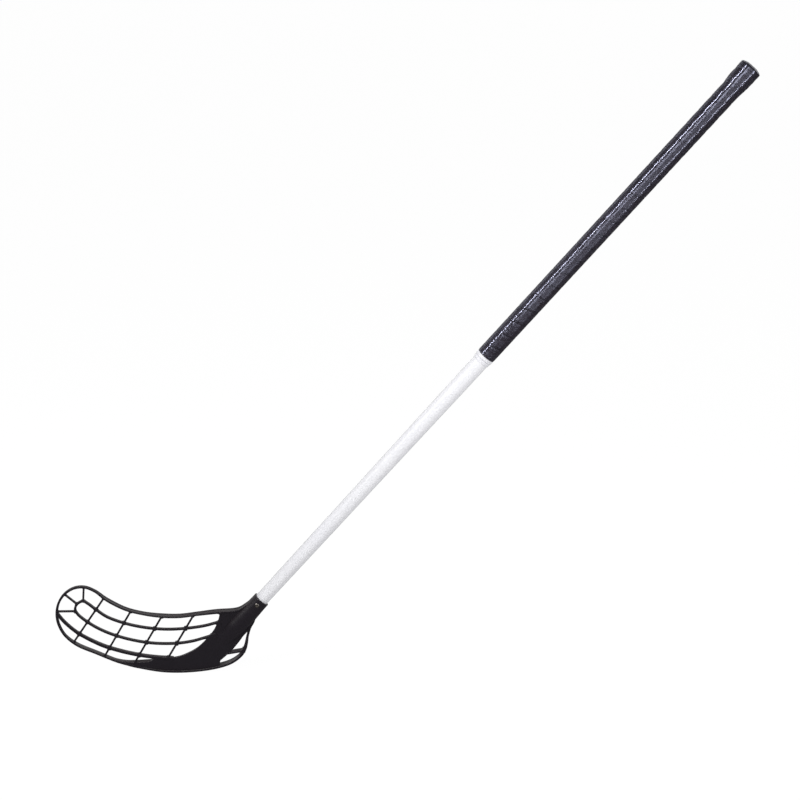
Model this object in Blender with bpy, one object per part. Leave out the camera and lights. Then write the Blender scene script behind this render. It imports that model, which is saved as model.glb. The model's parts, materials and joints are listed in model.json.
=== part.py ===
"""Floorball stick (indoor hockey stick) with a moulded lattice blade.

The stick stands in its playing pose: +Z is up, the blade's open face looks along -Y and the
shaft leans towards +X. The origin is the centre of the flat end of the butt cap.

Two sets of coordinates describe everything:
- along the shaft: a distance from the foot, the point where the shaft's axis meets the floor;
- in the blade's plane: x along the floor and z up, both from the foot, with depth along Y.
"""

import math

import bmesh
import bpy
import numpy as np
from mathutils import Vector

MM = 0.001

# Fit between pieces that touch
CLEARANCE = 0.3 * MM

# Modelling: how far a cutter runs past what it cuts, and the edge angle that stays sharp
CUT_PAST = 3 * MM
SHARP_ANGLE = math.radians(35)

# Stick
LIE_ANGLE = math.radians(49.9)
SHAFT_LENGTH = 960 * MM
BLADE_TO_SHAFT = 94.3 * MM      # from the foot to the shaft's lower end, along the axis
ROUND_SEGMENTS = 48

# Shaft: a composite tube, straight under the grip and tapered down to the blade
SHAFT_DIAMETER = 21.1 * MM
SHAFT_TIP_DIAMETER = 18.0 * MM
SHAFT_TAPER_LENGTH = 470 * MM
SHAFT_WALL = 1.3 * MM
SHAFT_EDGE_BREAK = 0.4 * MM

# Butt cap: a plug in the tube, a skirt over it and a crowned end
CAP_DIAMETER = 27.2 * MM
CAP_RIM = 3.9 * MM              # straight side between the seat and the crown
CAP_CROWN = 3.3 * MM
CAP_CROWN_STEPS = 6
CAP_FLAT_DIAMETER = 10 * MM
CAP_SKIRT_LENGTH = 8 * MM
CAP_SKIRT_WALL = 1.05 * MM
CAP_SKIRT_EDGE = 0.4 * MM       # wall at the skirt's free edge
CAP_SKIRT_LEAD = 3 * MM         # length over which the skirt thickens from that edge
CAP_PLUG_LENGTH = 30 * MM
CAP_PLUG_WALL = 1.5 * MM

# Grip: one band wound up the shaft and over the cap's skirt
GRIP_LENGTH = 457 * MM
GRIP_PITCH = 20.9 * MM
GRIP_SEAM = 0.6 * MM            # open groove between neighbouring turns
GRIP_BAND_THICKNESS = 1.15 * MM
GRIP_BAND_GAP = 0.35 * MM       # from the band's inner face to what it is wound on
GRIP_EDGE_THICKNESS = 0.75 * MM
GRIP_EDGE_ROLL = 2.2 * MM       # width of the band's thinned edge
GRIP_TIP_ROLL = 0.3             # most of the band's width that an edge takes, near its cut ends
GRIP_TIP_WIDTH = 1.2 * MM       # width of the band where its cut ends run out
GRIP_STEPS_PER_TURN = 24
GRIP_CLIMB = 15 * MM            # length over which the band climbs to the skirt's size
GRIP_CLIMB_LEAD = 7 * MM        # how far before the skirt the climb is done

# Finishing tape under the grip, in two steps
TAPE_STEP_LENGTH = 4.7 * MM
TAPE_THICKNESS = [1.0 * MM, 0.5 * MM]

# Hosel: the blade's socket for the shaft
SOCKET_DEPTH = 51.0 * MM
HOSEL_WALL = 1.85 * MM
HOSEL_FLARE = 1.7 * MM          # how much wider than the rim the hosel is at its root
HOSEL_STATIONS = 9
HOSEL_SLANT = math.radians(11)  # the rim is cut on a slant, higher in front
HOSEL_SLANT_TURN = math.radians(19)     # how far its highest point is turned to the toe
HOSEL_SLANT_REACH = 15 * MM     # length over which the slant fades out below the rim
NECK_LENGTH = 42 * MM           # below the socket, where the hosel flattens into the web
NECK_STATIONS = 9
NECK_END_WIDTH = 16 * MM
NECK_END_COVER = 0.5 * MM       # web left over the neck's flat end, in front and behind

# Screw through the hosel's front wall into the tube
SCREW_BELOW_RIM = 6.4 * MM
SCREW_TURN = math.radians(10)
SCREW_HEAD_DIAMETER = 6.3 * MM
SCREW_HEAD_HEIGHT = 1.3 * MM
SCREW_HEAD_EDGE = 0.5 * MM      # straight side of the head under its dome
SCREW_CROWN_DIAMETER = 3.5 * MM
SCREW_CROWN_STEPS = 3
SCREW_SEAT_DEPTH = 1.1 * MM
SCREW_SHANK_DIAMETER = 2.9 * MM
SCREW_POINT_DIAMETER = 0.9 * MM
SCREW_LENGTH = 8 * MM
SCREW_KEY_ACROSS = 2.4 * MM
SCREW_KEY_DEPTH = 0.7 * MM

# Blade: thickness in the blade's plane and depth across it, of each stretch of the rim
TOP_RIM = (2.5 * MM, 8.9 * MM)
FRONT_RIM = (2.5 * MM, 7.4 * MM)
TOE_RIM = (3.1 * MM, 4.2 * MM)
BASE_RIM = (2.5 * MM, 7.2 * MM)
SOLE_RIM = (3.2 * MM, 10.5 * MM)
HEEL_RIM = (3.2 * MM, 10.0 * MM)
CORNER_RIM = (4.6 * MM, 9.0 * MM)
BACK_RIM = (3.4 * MM, 9.0 * MM)
RIM_CHAMFER = 0.45 * MM
RIM_STEP = 7 * MM               # distance between stations of the rim

# Blade: lattice
LONG_RIB = (3.3 * MM, 4.0 * MM)
LOWER_RIB = (4.0 * MM, 5.0 * MM)
CROSS_RIB = (2.7 * MM, 3.6 * MM)
SPOKE = (2.5 * MM, 3.4 * MM)
STRUT = (3.0 * MM, 7.8 * MM)
RIB_DRAFT = 0.88                # front and back width of a rib over its middle width
RIB_STEP = 8 * MM
STRAIGHT_RIB_STEP = 20 * MM
WEB_THICKNESS = 3.4 * MM
WEB_TIP_THICKNESS = 6.6 * MM    # where the web runs out along the base
WEB_TIP_START = -30 * MM
WEB_TIP_END = -70 * MM
WEB_BACK = 3.1 * MM             # most that the web's back lies behind the blade's middle
RIB_RECESS = 0.3 * MM           # how far each form's front lies behind the top rim's front
WEB_RECESS = 0.75 * MM
CROSS_RECESS = 0.5 * MM

# Blade: how its middle surface bends forward towards the toe, and how the top rim thins
HOOK = 6 * MM
HOOK_START = 20 * MM
HOOK_END = -182 * MM
THIN_START = -60 * MM
THIN_END = -165 * MM

# Outer edge of the rim, in millimetres in the blade's plane, from inside the hosel along the top,
# round the toe, back along the base and up the heel into the hosel
RIM_OUTLINE = [
    (79.5, 109.9, TOP_RIM), (71, 103.1, TOP_RIM), (62.7, 97.6, TOP_RIM), (52.7, 95.2, TOP_RIM),
    (31, 93.6, TOP_RIM), (6.7, 90, TOP_RIM), (-17.3, 86.8, TOP_RIM), (-41.3, 87.4, TOP_RIM),
    (-65.3, 91.1, FRONT_RIM), (-88.6, 98.5, FRONT_RIM), (-111, 112.3, FRONT_RIM),
    (-125.5, 125.7, TOE_RIM), (-140, 132.8, TOE_RIM), (-154.6, 131.7, TOE_RIM),
    (-167.7, 123.4, TOE_RIM), (-177.2, 109.6, TOE_RIM), (-181.4, 92.7, TOE_RIM),
    (-180, 75, TOE_RIM), (-172.4, 57.3, TOE_RIM), (-156.4, 42.4, BASE_RIM),
    (-132.3, 29.8, BASE_RIM), (-108.3, 18.1, BASE_RIM), (-76.8, 6.8, BASE_RIM),
    (-44.8, 0.9, SOLE_RIM), (-12.8, 0, SOLE_RIM), (20.4, 3.9, SOLE_RIM), (46.1, 11.5, HEEL_RIM),
    (62.3, 23.2, HEEL_RIM), (70.8, 36.5, CORNER_RIM), (73.9, 53.7, BACK_RIM),
    (77.7, 67.7, BACK_RIM), (82.7, 77.7, BACK_RIM), (85.2, 85.7, BACK_RIM),
]

# Centre line of the rib that runs out from the web, round its nose at the toe and back
LOOP_RIB_LINE = [
    (37, 78.2), (15, 71.5), (-11, 67.5), (-37, 66.5), (-63, 69.3), (-89, 75.6), (-112.5, 85.3),
    (-127.6, 97.2), (-137, 105.9), (-144, 110.2), (-151.3, 106.6), (-155.2, 98.9),
    (-152.5, 90.8), (-144, 81.5), (-129, 69.8), (-109, 59.2), (-83, 50.5), (-55, 45.2),
    (-27, 44.4), (-5, 47.2), (13, 52.5), (31, 58.9),
]

# Centre line of the lower rib, from the toe's rim into the web
LOWER_RIB_LINE = [
    (-179.5, 92.8), (-171.4, 80), (-159.4, 66.4), (-147, 56.2), (-124, 42.5), (-100.3, 33.6),
    (-76, 27.2), (-52.5, 23.3), (-29, 21.4),
]

# Ends of the straight ribs that cross the blade from the top rim to the base
CROSS_RIB_ENDS = [
    ((-115.6, 115.2), (-161, 47.9)),
    ((-81.3, 95.2), (-121.5, 25.2)),
    ((-41.5, 85.2), (-83.5, 11.6)),
    ((0.8, 86.4), (-37.7, 19.2)),
]

# Ends of the spokes between the toe's rim and the loop rib's nose
SPOKE_ENDS = [
    ((-141.3, 131), (-143.7, 110)),
    ((-167.8, 121.9), (-151, 104.8)),
    ((-179.6, 95.7), (-155, 95.2)),
]

# Ends of the strut between the two openings of the heel
STRUT_ENDS = ((43, 29.2), (68, 34))

# Leaf-shaped web: x, height of its upper edge in front, height of its lower edge, and how much
# higher its upper edge is at the back
WEB_STATIONS = [
    (-115, 24, 22, 0), (-103, 20.6, 16.8, 0), (-91, 18.6, 12.6, 0), (-79, 18.2, 8.8, 1),
    (-67, 19.6, 6.2, 1.4), (-55, 20.9, 4.2, 0), (-47, 22, 3.2, 0), (-37, 22, 2.2, 0),
    (-28.5, 22.8, 1.8, 0), (-20, 24.7, 1.6, 0), (-12, 28, 1.6, 0), (-3.7, 32.5, 2.2, 0),
    (4.9, 38.3, 3.3, 0), (14, 47.3, 4.7, 0), (22.6, 57.7, 6.3, 0), (28.8, 67, 8.2, 0),
    (32.6, 76, 9.8, 0), (34.4, 80.7, 17.4, 0), (37.8, 92, 21, 0), (44.8, 93.2, 27.8, 0),
    (53.5, 94, 37.3, 0), (60.5, 95.8, 46.6, 0), (66.6, 98, 55.6, 0), (69.7, 99.4, 59.4, 0),
    (73, 100.4, 64, 0), (76, 100.4, 76, 0),
]

# Heights along the shaft's axis, worked out from the sizes above
SHAFT_LOW = BLADE_TO_SHAFT
SHAFT_HIGH = SHAFT_LOW + SHAFT_LENGTH
SOCKET_FLOOR = SHAFT_LOW - CLEARANCE
HOSEL_RIM = SOCKET_FLOOR + SOCKET_DEPTH
CAP_SEAT = SHAFT_HIGH + CLEARANCE
STICK_END = CAP_SEAT + CAP_RIM + CAP_CROWN
SKIRT_LOW = CAP_SEAT - CAP_SKIRT_LENGTH
GRIP_HIGH = CAP_SEAT - CLEARANCE
GRIP_LOW = GRIP_HIGH - GRIP_LENGTH
TAPE_HIGH = GRIP_LOW - CLEARANCE
SCREW_HEIGHT = HOSEL_RIM - SCREW_BELOW_RIM

AXIS = Vector((math.cos(LIE_ANGLE), 0, math.sin(LIE_ANGLE)))
ACROSS = Vector((math.sin(LIE_ANGLE), 0, -math.cos(LIE_ANGLE)))
DEPTH = Vector((0, 1, 0))
FOOT = -STICK_END * AXIS


def on_shaft(height, radius=0.0, turn=0.0):
    """World point at a height along the shaft's axis, turned right-handed from ACROSS."""
    side = math.cos(turn) * ACROSS + math.sin(turn) * DEPTH
    return FOOT + height * AXIS + radius * side


def in_blade(x, z, depth=0.0):
    """World point from the blade's plane."""
    return FOOT + Vector((x, depth, z))


def shaft_radius(height):
    """Outer radius of the tube: a straight taper up to the part under the grip."""
    share = min(1, max(0, (height - SHAFT_LOW) / SHAFT_TAPER_LENGTH))
    return 0.5 * (SHAFT_TIP_DIAMETER + share * (SHAFT_DIAMETER - SHAFT_TIP_DIAMETER))


def smooth_step(value, start, end):
    """0 at start, 1 at end, with no corner at either."""
    share = min(1, max(0, (value - start) / (end - start)))
    return share * share * (3 - 2 * share)


def clear_scene():
    for obj in list(bpy.data.objects):
        bpy.data.objects.remove(obj, do_unlink=True)


def principled(name, colour, roughness, metallic=0.0):
    material = bpy.data.materials.new(name)
    material.use_nodes = True
    shader = material.node_tree.nodes["Principled BSDF"]
    shader.inputs["Base Color"].default_value = (*colour, 1)
    shader.inputs["Roughness"].default_value = roughness
    shader.inputs["Metallic"].default_value = metallic
    return material


def add_object(name, bm, material=None, helper=False):
    """Object from a bmesh, its faces turned outward and its round parts shaded smooth."""
    bmesh.ops.recalc_face_normals(bm, faces=bm.faces)
    mesh = bpy.data.meshes.new(name)
    bm.to_mesh(mesh)
    bm.free()
    mesh.shade_smooth()
    mesh.set_sharp_from_angle(angle=SHARP_ANGLE)
    obj = bpy.data.objects.new(name, mesh)
    bpy.context.scene.collection.objects.link(obj)
    if material:
        mesh.materials.append(material)
    if helper:
        obj.hide_render = True
        obj.display_type = "WIRE"
    return obj


def skin(rings, wrap=False):
    """Closed body over rings of equally many points. With wrap the last ring joins the first,
    otherwise both end rings are capped."""
    bm = bmesh.new()
    rows = [[bm.verts.new(point) for point in ring] for ring in rings]
    pairs = list(zip(rows, rows[1:]))
    if wrap:
        pairs.append((rows[-1], rows[0]))
    else:
        bm.faces.new(rows[0])
        bm.faces.new(rows[-1])
    for low, high in pairs:
        for i in range(len(low)):
            j = (i + 1) % len(low)
            bm.faces.new((low[i], low[j], high[j], high[i]))
    return bm


def turned(profile):
    """Body turned round the shaft's axis from a closed profile of (radius, height). A point on
    the axis becomes one vertex."""
    bm = bmesh.new()
    columns = []
    for radius, height in profile:
        if radius == 0:
            columns.append([bm.verts.new(on_shaft(height))] * ROUND_SEGMENTS)
        else:
            turns = [2 * math.pi * i / ROUND_SEGMENTS for i in range(ROUND_SEGMENTS)]
            columns.append([bm.verts.new(on_shaft(height, radius, turn)) for turn in turns])
    for low, high in zip(columns, columns[1:] + columns[:1]):
        if low[0] is low[1] and high[0] is high[1]:
            continue
        for i in range(ROUND_SEGMENTS):
            j = (i + 1) % ROUND_SEGMENTS
            corners = [low[i], low[j], high[j], high[i]]
            bm.faces.new(list(dict.fromkeys(corners)))
    return bm


def spline(points, step, samples=12):
    """Points about a step apart on the Catmull-Rom curve through all columns of points. The
    first two columns are the place, and the rest ride along."""
    points = np.array(points, float)
    ends = np.vstack([2 * points[0] - points[1], points, 2 * points[-1] - points[-2]])
    fine = []
    for before, start, end, after in zip(ends, ends[1:], ends[2:], ends[3:]):
        for t in np.linspace(0, 1, samples, endpoint=False):
            bend = 2 * before - 5 * start + 4 * end - after
            twist = 3 * start - before - 3 * end + after
            fine.append(0.5 * (2 * start + (end - before) * t + bend * t**2 + twist * t**3))
    fine = np.vstack([fine, points[-1]])
    lengths = np.hypot(*np.diff(fine[:, :2], axis=0).T)
    run = np.concatenate([[0], np.cumsum(lengths)])
    wanted = np.linspace(0, run[-1], max(2, round(run[-1] / step) + 1))
    return np.stack([np.interp(wanted, run, column) for column in fine.T], axis=1)


def hook(x):
    """Depth of the blade's middle surface, which bends forward towards the toe."""
    share = max(0, (HOOK_START - x) / (HOOK_START - HOOK_END))
    return -HOOK * share * share


def lattice_front(x):
    """Depth of the top rim's front, which the lattice follows."""
    thin = smooth_step(-x, -THIN_START, -THIN_END)
    return hook(x) - 0.5 * (TOP_RIM[1] + thin * (TOE_RIM[1] - TOP_RIM[1]))


def side_of_path(path):
    """Unit normals in the blade's plane, on the left of the way the path runs."""
    along = np.gradient(path[:, :2], axis=0)
    along /= np.linalg.norm(along, axis=1)[:, None]
    return np.stack([-along[:, 1], along[:, 0]], axis=1)


def rim_bar():
    """Rim of the blade: a bar with chamfered edges, set inward from the outline."""
    points = [(x * MM, z * MM, *size) for x, z, size in RIM_OUTLINE]
    path = spline(points, RIM_STEP)
    rings = []
    for (x, z, thickness, depth), (side_x, side_z) in zip(path, side_of_path(path)):
        half, cut = depth / 2, RIM_CHAMFER
        section = [
            (0, -half + cut), (cut, -half), (thickness - cut, -half), (thickness, -half + cut),
            (thickness, half - cut), (thickness - cut, half), (cut, half), (0, half - cut),
        ]
        rings.append([
            in_blade(x + side_x * inward, z + side_z * inward, hook(x) + deep)
            for inward, deep in section
        ])
    return skin(rings)


def rib(line, size, recess, step=RIB_STEP):
    """Rib along a line: six sides, widest at half its depth as a mould's draft leaves it. Where
    the top rim is thinner than the rib, the rib thins with it."""
    width, most = size
    path = spline([(x * MM, z * MM) for x, z in line], step)
    rings = []
    for (x, z), (side_x, side_z) in zip(path, side_of_path(path)):
        front = lattice_front(x) + recess
        depth = min(most, 2 * (hook(x) - front))
        section = [
            (-0.5 * RIB_DRAFT * width, 0), (0.5 * RIB_DRAFT * width, 0), (0.5 * width, depth / 2),
            (0.5 * RIB_DRAFT * width, depth), (-0.5 * RIB_DRAFT * width, depth),
            (-0.5 * width, depth / 2),
        ]
        rings.append([
            in_blade(x + side_x * aside, z + side_z * aside, front + deep)
            for aside, deep in section
        ])
    return skin(rings)


def web_plate():
    """Web between the base, the hosel and the lattice: a plate that follows the hook, thicker
    where it runs out along the base."""
    rings = []
    for x, upper, lower, rise in WEB_STATIONS:
        x, upper, lower, rise = x * MM, upper * MM, lower * MM, rise * MM
        front = lattice_front(x) + WEB_RECESS
        tip = smooth_step(-x, -WEB_TIP_START, -WEB_TIP_END)
        thickness = WEB_THICKNESS + tip * (WEB_TIP_THICKNESS - WEB_THICKNESS)
        back = min(front + thickness, hook(x) + WEB_BACK)
        rings.append([
            in_blade(x, lower, front), in_blade(x, upper, front),
            in_blade(x, upper + rise, back), in_blade(x, lower, back),
        ])
    return skin(rings)


def hosel_body():
    """Hosel: a round tube's outside whose rim is slanted and which swells slightly down to its
    root, and below the socket a neck that flattens into the web."""
    rim_radius = hosel_surface()
    root_radius = rim_radius + HOSEL_FLARE
    rings = []
    for i in range(HOSEL_STATIONS):
        height = HOSEL_RIM + (SOCKET_FLOOR - HOSEL_RIM) * i / (HOSEL_STATIONS - 1)
        swell = smooth_step(HOSEL_RIM - height, 0, HOSEL_RIM - SOCKET_FLOOR)
        lift = hosel_lift() * (1 - smooth_step(HOSEL_RIM - height, 0, HOSEL_SLANT_REACH))
        rings.append((height, rim_radius + swell * HOSEL_FLARE, -rim_radius, rim_radius, lift))
    web_front = lattice_front(HOOK_START) + WEB_RECESS
    front_end = web_front + NECK_END_COVER
    back_end = web_front + WEB_THICKNESS - NECK_END_COVER
    for i in range(1, NECK_STATIONS + 1):
        height = SOCKET_FLOOR - NECK_LENGTH * i / NECK_STATIONS
        sink = smooth_step(i, 0, NECK_STATIONS)
        rings.append((
            height, root_radius + sink * (0.5 * NECK_END_WIDTH - root_radius),
            -rim_radius + sink * (front_end + rim_radius),
            rim_radius + sink * (back_end - rim_radius), 0,
        ))
    turns = [2 * math.pi * i / ROUND_SEGMENTS for i in range(ROUND_SEGMENTS)]
    return skin([
        [
            on_shaft(height - lift * math.sin(turn + HOSEL_SLANT_TURN))
            + wide * math.cos(turn) * ACROSS
            + (0.5 * (front + back) + 0.5 * (back - front) * math.sin(turn)) * DEPTH
            for turn in turns
        ]
        for height, wide, front, back, lift in rings
    ])


def socket_cutter():
    """Bore of the hosel, with a clearance all round the tapered tube."""
    above = HOSEL_RIM + hosel_lift() + CUT_PAST
    return turned([
        (0, SOCKET_FLOOR), (shaft_radius(SHAFT_LOW) + CLEARANCE, SOCKET_FLOOR),
        (shaft_radius(above) + CLEARANCE, above), (0, above),
    ])


def screw_place(out):
    """World point on the screw's axis, at a distance out from the shaft's axis."""
    turn = -math.pi / 2 - SCREW_TURN
    return on_shaft(SCREW_HEIGHT, out, turn)


def round_on_screw(profile, segments=24):
    """Body turned round the screw's axis from (radius, distance out), closed at both ends."""
    out = (screw_place(1) - screw_place(0)).normalized()
    side = out.cross(AXIS)
    rings = []
    for radius, distance in profile:
        centre = screw_place(0) + distance * out
        rings.append([
            centre + radius * (math.cos(turn) * AXIS + math.sin(turn) * side)
            for turn in (2 * math.pi * i / segments for i in range(segments))
        ])
    return skin(rings)


def hosel_surface():
    """Distance of the hosel's outside from the shaft's axis, at the screw."""
    return shaft_radius(HOSEL_RIM) + CLEARANCE + HOSEL_WALL


def hosel_lift():
    """How much higher than its middle the hosel's slanted rim is at its highest point."""
    return hosel_surface() * math.tan(HOSEL_SLANT)


def screw_seat():
    return hosel_surface() - SCREW_SEAT_DEPTH


def cut_from(obj, cutter):
    modifier = obj.modifiers.new(cutter.name, "BOOLEAN")
    modifier.operation = "DIFFERENCE"
    modifier.object = cutter


def make_blade():
    """Blade: hosel, rim, lattice, web and strut joined into one moulding."""
    plastic = principled("black_polypropylene", (0.012, 0.011, 0.013), 0.45)
    blade = add_object("blade", hosel_body(), plastic)
    bars = bpy.data.collections.new("blade_bars")
    bpy.context.scene.collection.children.link(bars)
    forms = [
        ("bar_rim", rim_bar()),
        ("bar_loop_rib", rib(LOOP_RIB_LINE, LONG_RIB, RIB_RECESS)),
        ("bar_lower_rib", rib(LOWER_RIB_LINE, LOWER_RIB, RIB_RECESS)),
        ("bar_web", web_plate()),
        ("bar_strut", rib(STRUT_ENDS, STRUT, CROSS_RECESS)),
    ]
    for i, ends in enumerate(CROSS_RIB_ENDS):
        bar = rib(ends, CROSS_RIB, CROSS_RECESS, STRAIGHT_RIB_STEP)
        forms.append((f"bar_cross_rib_{i + 1}", bar))
    for i, ends in enumerate(SPOKE_ENDS):
        bar = rib(ends, SPOKE, CROSS_RECESS, STRAIGHT_RIB_STEP)
        forms.append((f"bar_spoke_{i + 1}", bar))
    for name, bm in forms:
        bar = add_object(name, bm, helper=True)
        bpy.context.scene.collection.objects.unlink(bar)
        bars.objects.link(bar)
    union = blade.modifiers.new("join_bars", "BOOLEAN")
    union.operation = "UNION"
    union.operand_type = "COLLECTION"
    union.collection = bars
    cut_from(blade, add_object("socket_cutter", socket_cutter(), helper=True))
    hole_radius = 0.5 * SCREW_SHANK_DIAMETER + CLEARANCE
    seat_radius = 0.5 * SCREW_HEAD_DIAMETER + CLEARANCE
    above = hosel_surface() + CUT_PAST
    hole = round_on_screw([
        (hole_radius, shaft_radius(SCREW_HEIGHT) - SHAFT_WALL), (hole_radius, screw_seat()),
        (seat_radius, screw_seat()), (seat_radius, above),
    ])
    cut_from(blade, add_object("screw_hole_cutter", hole, helper=True))
    return blade


def make_shaft():
    """Shaft: a composite tube with the screw's hole in its front wall."""
    low = shaft_radius(SHAFT_LOW)
    high = shaft_radius(SHAFT_HIGH)
    straight = SHAFT_LOW + SHAFT_TAPER_LENGTH
    edge = SHAFT_EDGE_BREAK
    tube = turned([
        (low - edge, SHAFT_LOW), (low, SHAFT_LOW + edge), (high, straight),
        (high, SHAFT_HIGH - edge), (high - edge, SHAFT_HIGH), (high - SHAFT_WALL, SHAFT_HIGH),
        (high - SHAFT_WALL, straight), (low - SHAFT_WALL, SHAFT_LOW),
    ])
    shaft = add_object("shaft", tube, principled("white_gloss_lacquer", (0.86, 0.86, 0.88), 0.25))
    radius = 0.5 * SCREW_SHANK_DIAMETER + CLEARANCE
    outer = shaft_radius(SCREW_HEIGHT)
    drill = round_on_screw([(radius, outer - SHAFT_WALL - CUT_PAST), (radius, outer + CUT_PAST)])
    cut_from(shaft, add_object("shaft_hole_cutter", drill, helper=True))
    return shaft


def make_end_cap():
    """Butt cap: hollow plug, skirt over the tube's end and a crowned end, whose arc runs out of
    the flat middle without a corner."""
    tube = shaft_radius(SHAFT_HIGH)
    skirt_inner = tube + CLEARANCE
    skirt_outer = skirt_inner + CAP_SKIRT_WALL
    plug = tube - SHAFT_WALL - CLEARANCE
    plug_low = CAP_SEAT - CAP_PLUG_LENGTH
    rim = 0.5 * CAP_DIAMETER
    flat = 0.5 * CAP_FLAT_DIAMETER
    bore = plug - CAP_PLUG_WALL
    crown_width = rim - flat
    crown_radius = (crown_width**2 + CAP_CROWN**2) / (2 * CAP_CROWN)
    crown_arc = math.asin(crown_width / crown_radius)
    crown = []
    for i in range(CAP_CROWN_STEPS + 1):
        angle = crown_arc * i / CAP_CROWN_STEPS
        drop = crown_radius * (1 - math.cos(angle))
        crown.append((flat + crown_radius * math.sin(angle), STICK_END - drop))
    profile = [
        (plug, CAP_SEAT), (plug, plug_low), (bore, plug_low), (bore, CAP_SEAT - CAP_PLUG_WALL),
        (0, CAP_SEAT - CAP_PLUG_WALL), (0, STICK_END), *crown, (rim, CAP_SEAT),
        (skirt_outer, CAP_SEAT), (skirt_outer, SKIRT_LOW + CAP_SKIRT_LEAD),
        (skirt_inner + CAP_SKIRT_EDGE, SKIRT_LOW), (skirt_inner, SKIRT_LOW),
        (skirt_inner, CAP_SEAT),
    ]
    return add_object("end_cap", turned(profile), principled("black_rubber", (0.02, 0.02, 0.022), 0.6))


def grip_base_radius(height):
    """Radius of the band's inner face: the tube below, and the cap's skirt near the end."""
    done = SKIRT_LOW - GRIP_CLIMB_LEAD
    climb = smooth_step(height, done - GRIP_CLIMB, done)
    return shaft_radius(height) + GRIP_BAND_GAP + climb * (CLEARANCE + CAP_SKIRT_WALL)


def grip_sections():
    """Points of the band's section at each station of its helix. Both ends of the band are cut
    on a slant, so that the winding starts and stops square to the shaft."""
    width = GRIP_PITCH - GRIP_SEAM
    first = GRIP_LOW + GRIP_TIP_WIDTH - width
    last = GRIP_HIGH - GRIP_TIP_WIDTH
    turns = (last - first) / GRIP_PITCH
    stations = math.ceil(turns * GRIP_STEPS_PER_TURN)
    sections = []
    for i in range(stations + 1):
        turn = turns * i / stations
        edge = first + turn * GRIP_PITCH
        low, high = max(edge, GRIP_LOW), min(edge + width, GRIP_HIGH)
        roll = min(GRIP_EDGE_ROLL, GRIP_TIP_ROLL * (high - low))
        section = [
            (low, 0), (low, GRIP_EDGE_THICKNESS), (low + roll, GRIP_BAND_THICKNESS),
            (high - roll, GRIP_BAND_THICKNESS), (high, GRIP_EDGE_THICKNESS), (high, 0),
        ]
        sections.append([
            on_shaft(height, grip_base_radius(height) + out, 2 * math.pi * turn)
            for height, out in section
        ])
    return sections, turns


def least_gap(sections):
    """Least distance between the band and its own next turn, on points of its edges."""
    upper = np.array([[tuple(p) for p in section[3:6]] for section in sections])
    lower = np.array([[tuple(p) for p in section[0:3]] for section in sections])
    least = math.inf
    for i in range(len(sections) - GRIP_STEPS_PER_TURN // 2):
        near = lower[i + GRIP_STEPS_PER_TURN // 2: i + 3 * GRIP_STEPS_PER_TURN // 2].reshape(-1, 3)
        apart = np.linalg.norm(upper[i][:, None] - near[None], axis=2)
        least = min(least, float(apart.min()))
    return least


def make_grip_band():
    """Grip: one unbroken band, wound right-handed up the shaft with an open seam."""
    sections, turns = grip_sections()
    print(f"grip band: {turns:.1f} turns, least gap to itself {least_gap(sections) / MM:.2f} mm")
    rubber = principled("black_grip_band", (0.028, 0.025, 0.033), 0.38)
    return add_object("grip_band", skin(sections), rubber)


def make_finishing_tape():
    """White tape that closes the grip's lower end, in two steps."""
    inner = shaft_radius(TAPE_HIGH) + CLEARANCE
    step = TAPE_HIGH - TAPE_STEP_LENGTH
    low = step - TAPE_STEP_LENGTH
    thick, thin = TAPE_THICKNESS
    ring = turned([
        (inner, low), (inner + thin, low), (inner + thin, step), (inner + thick, step),
        (inner + thick, TAPE_HIGH), (inner, TAPE_HIGH),
    ])
    return add_object("finishing_tape", ring, principled("white_tape", (0.83, 0.83, 0.85), 0.4))


def make_blade_screw():
    """Screw that locks the blade to the shaft: domed head with a key recess, plain shank."""
    seat = screw_seat() + CLEARANCE
    head = 0.5 * SCREW_HEAD_DIAMETER
    shank = 0.5 * SCREW_SHANK_DIAMETER
    top = seat + SCREW_HEAD_HEIGHT
    point = 0.5 * SCREW_POINT_DIAMETER
    crown = 0.5 * SCREW_CROWN_DIAMETER
    dome = []
    for i in range(SCREW_CROWN_STEPS + 1):
        angle = math.pi / 2 * i / SCREW_CROWN_STEPS
        rise = (SCREW_HEAD_HEIGHT - SCREW_HEAD_EDGE) * math.sin(angle)
        dome.append((crown + (head - crown) * math.cos(angle), seat + SCREW_HEAD_EDGE + rise))
    body = round_on_screw([
        (point, top - SCREW_LENGTH), (shank, top - SCREW_LENGTH + shank - point), (shank, seat),
        (head, seat), *dome,
    ])
    screw = add_object("blade_screw", body, principled("blackened_steel", (0.09, 0.09, 0.095), 0.4, 1))
    key = round_on_screw([
        (0.5 * SCREW_KEY_ACROSS, top - SCREW_KEY_DEPTH), (0.5 * SCREW_KEY_ACROSS, top + CUT_PAST),
    ], segments=6)
    cut_from(screw, add_object("screw_key_cutter", key, helper=True))
    return screw


def main():
    clear_scene()
    make_blade()
    make_shaft()
    make_end_cap()
    make_grip_band()
    make_finishing_tape()
    make_blade_screw()


main()
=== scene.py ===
"""Floorball stick (indoor hockey stick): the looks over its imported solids.

The stick stands in its playing pose: +Z is up, the blade's open face looks along -Y and the shaft
leans towards +X. The origin is the centre of the butt cap's flat end. Sizes are in metres.
"""

import json
import math

import bmesh
import bpy
import numpy as np
from mathutils import Matrix

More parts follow.
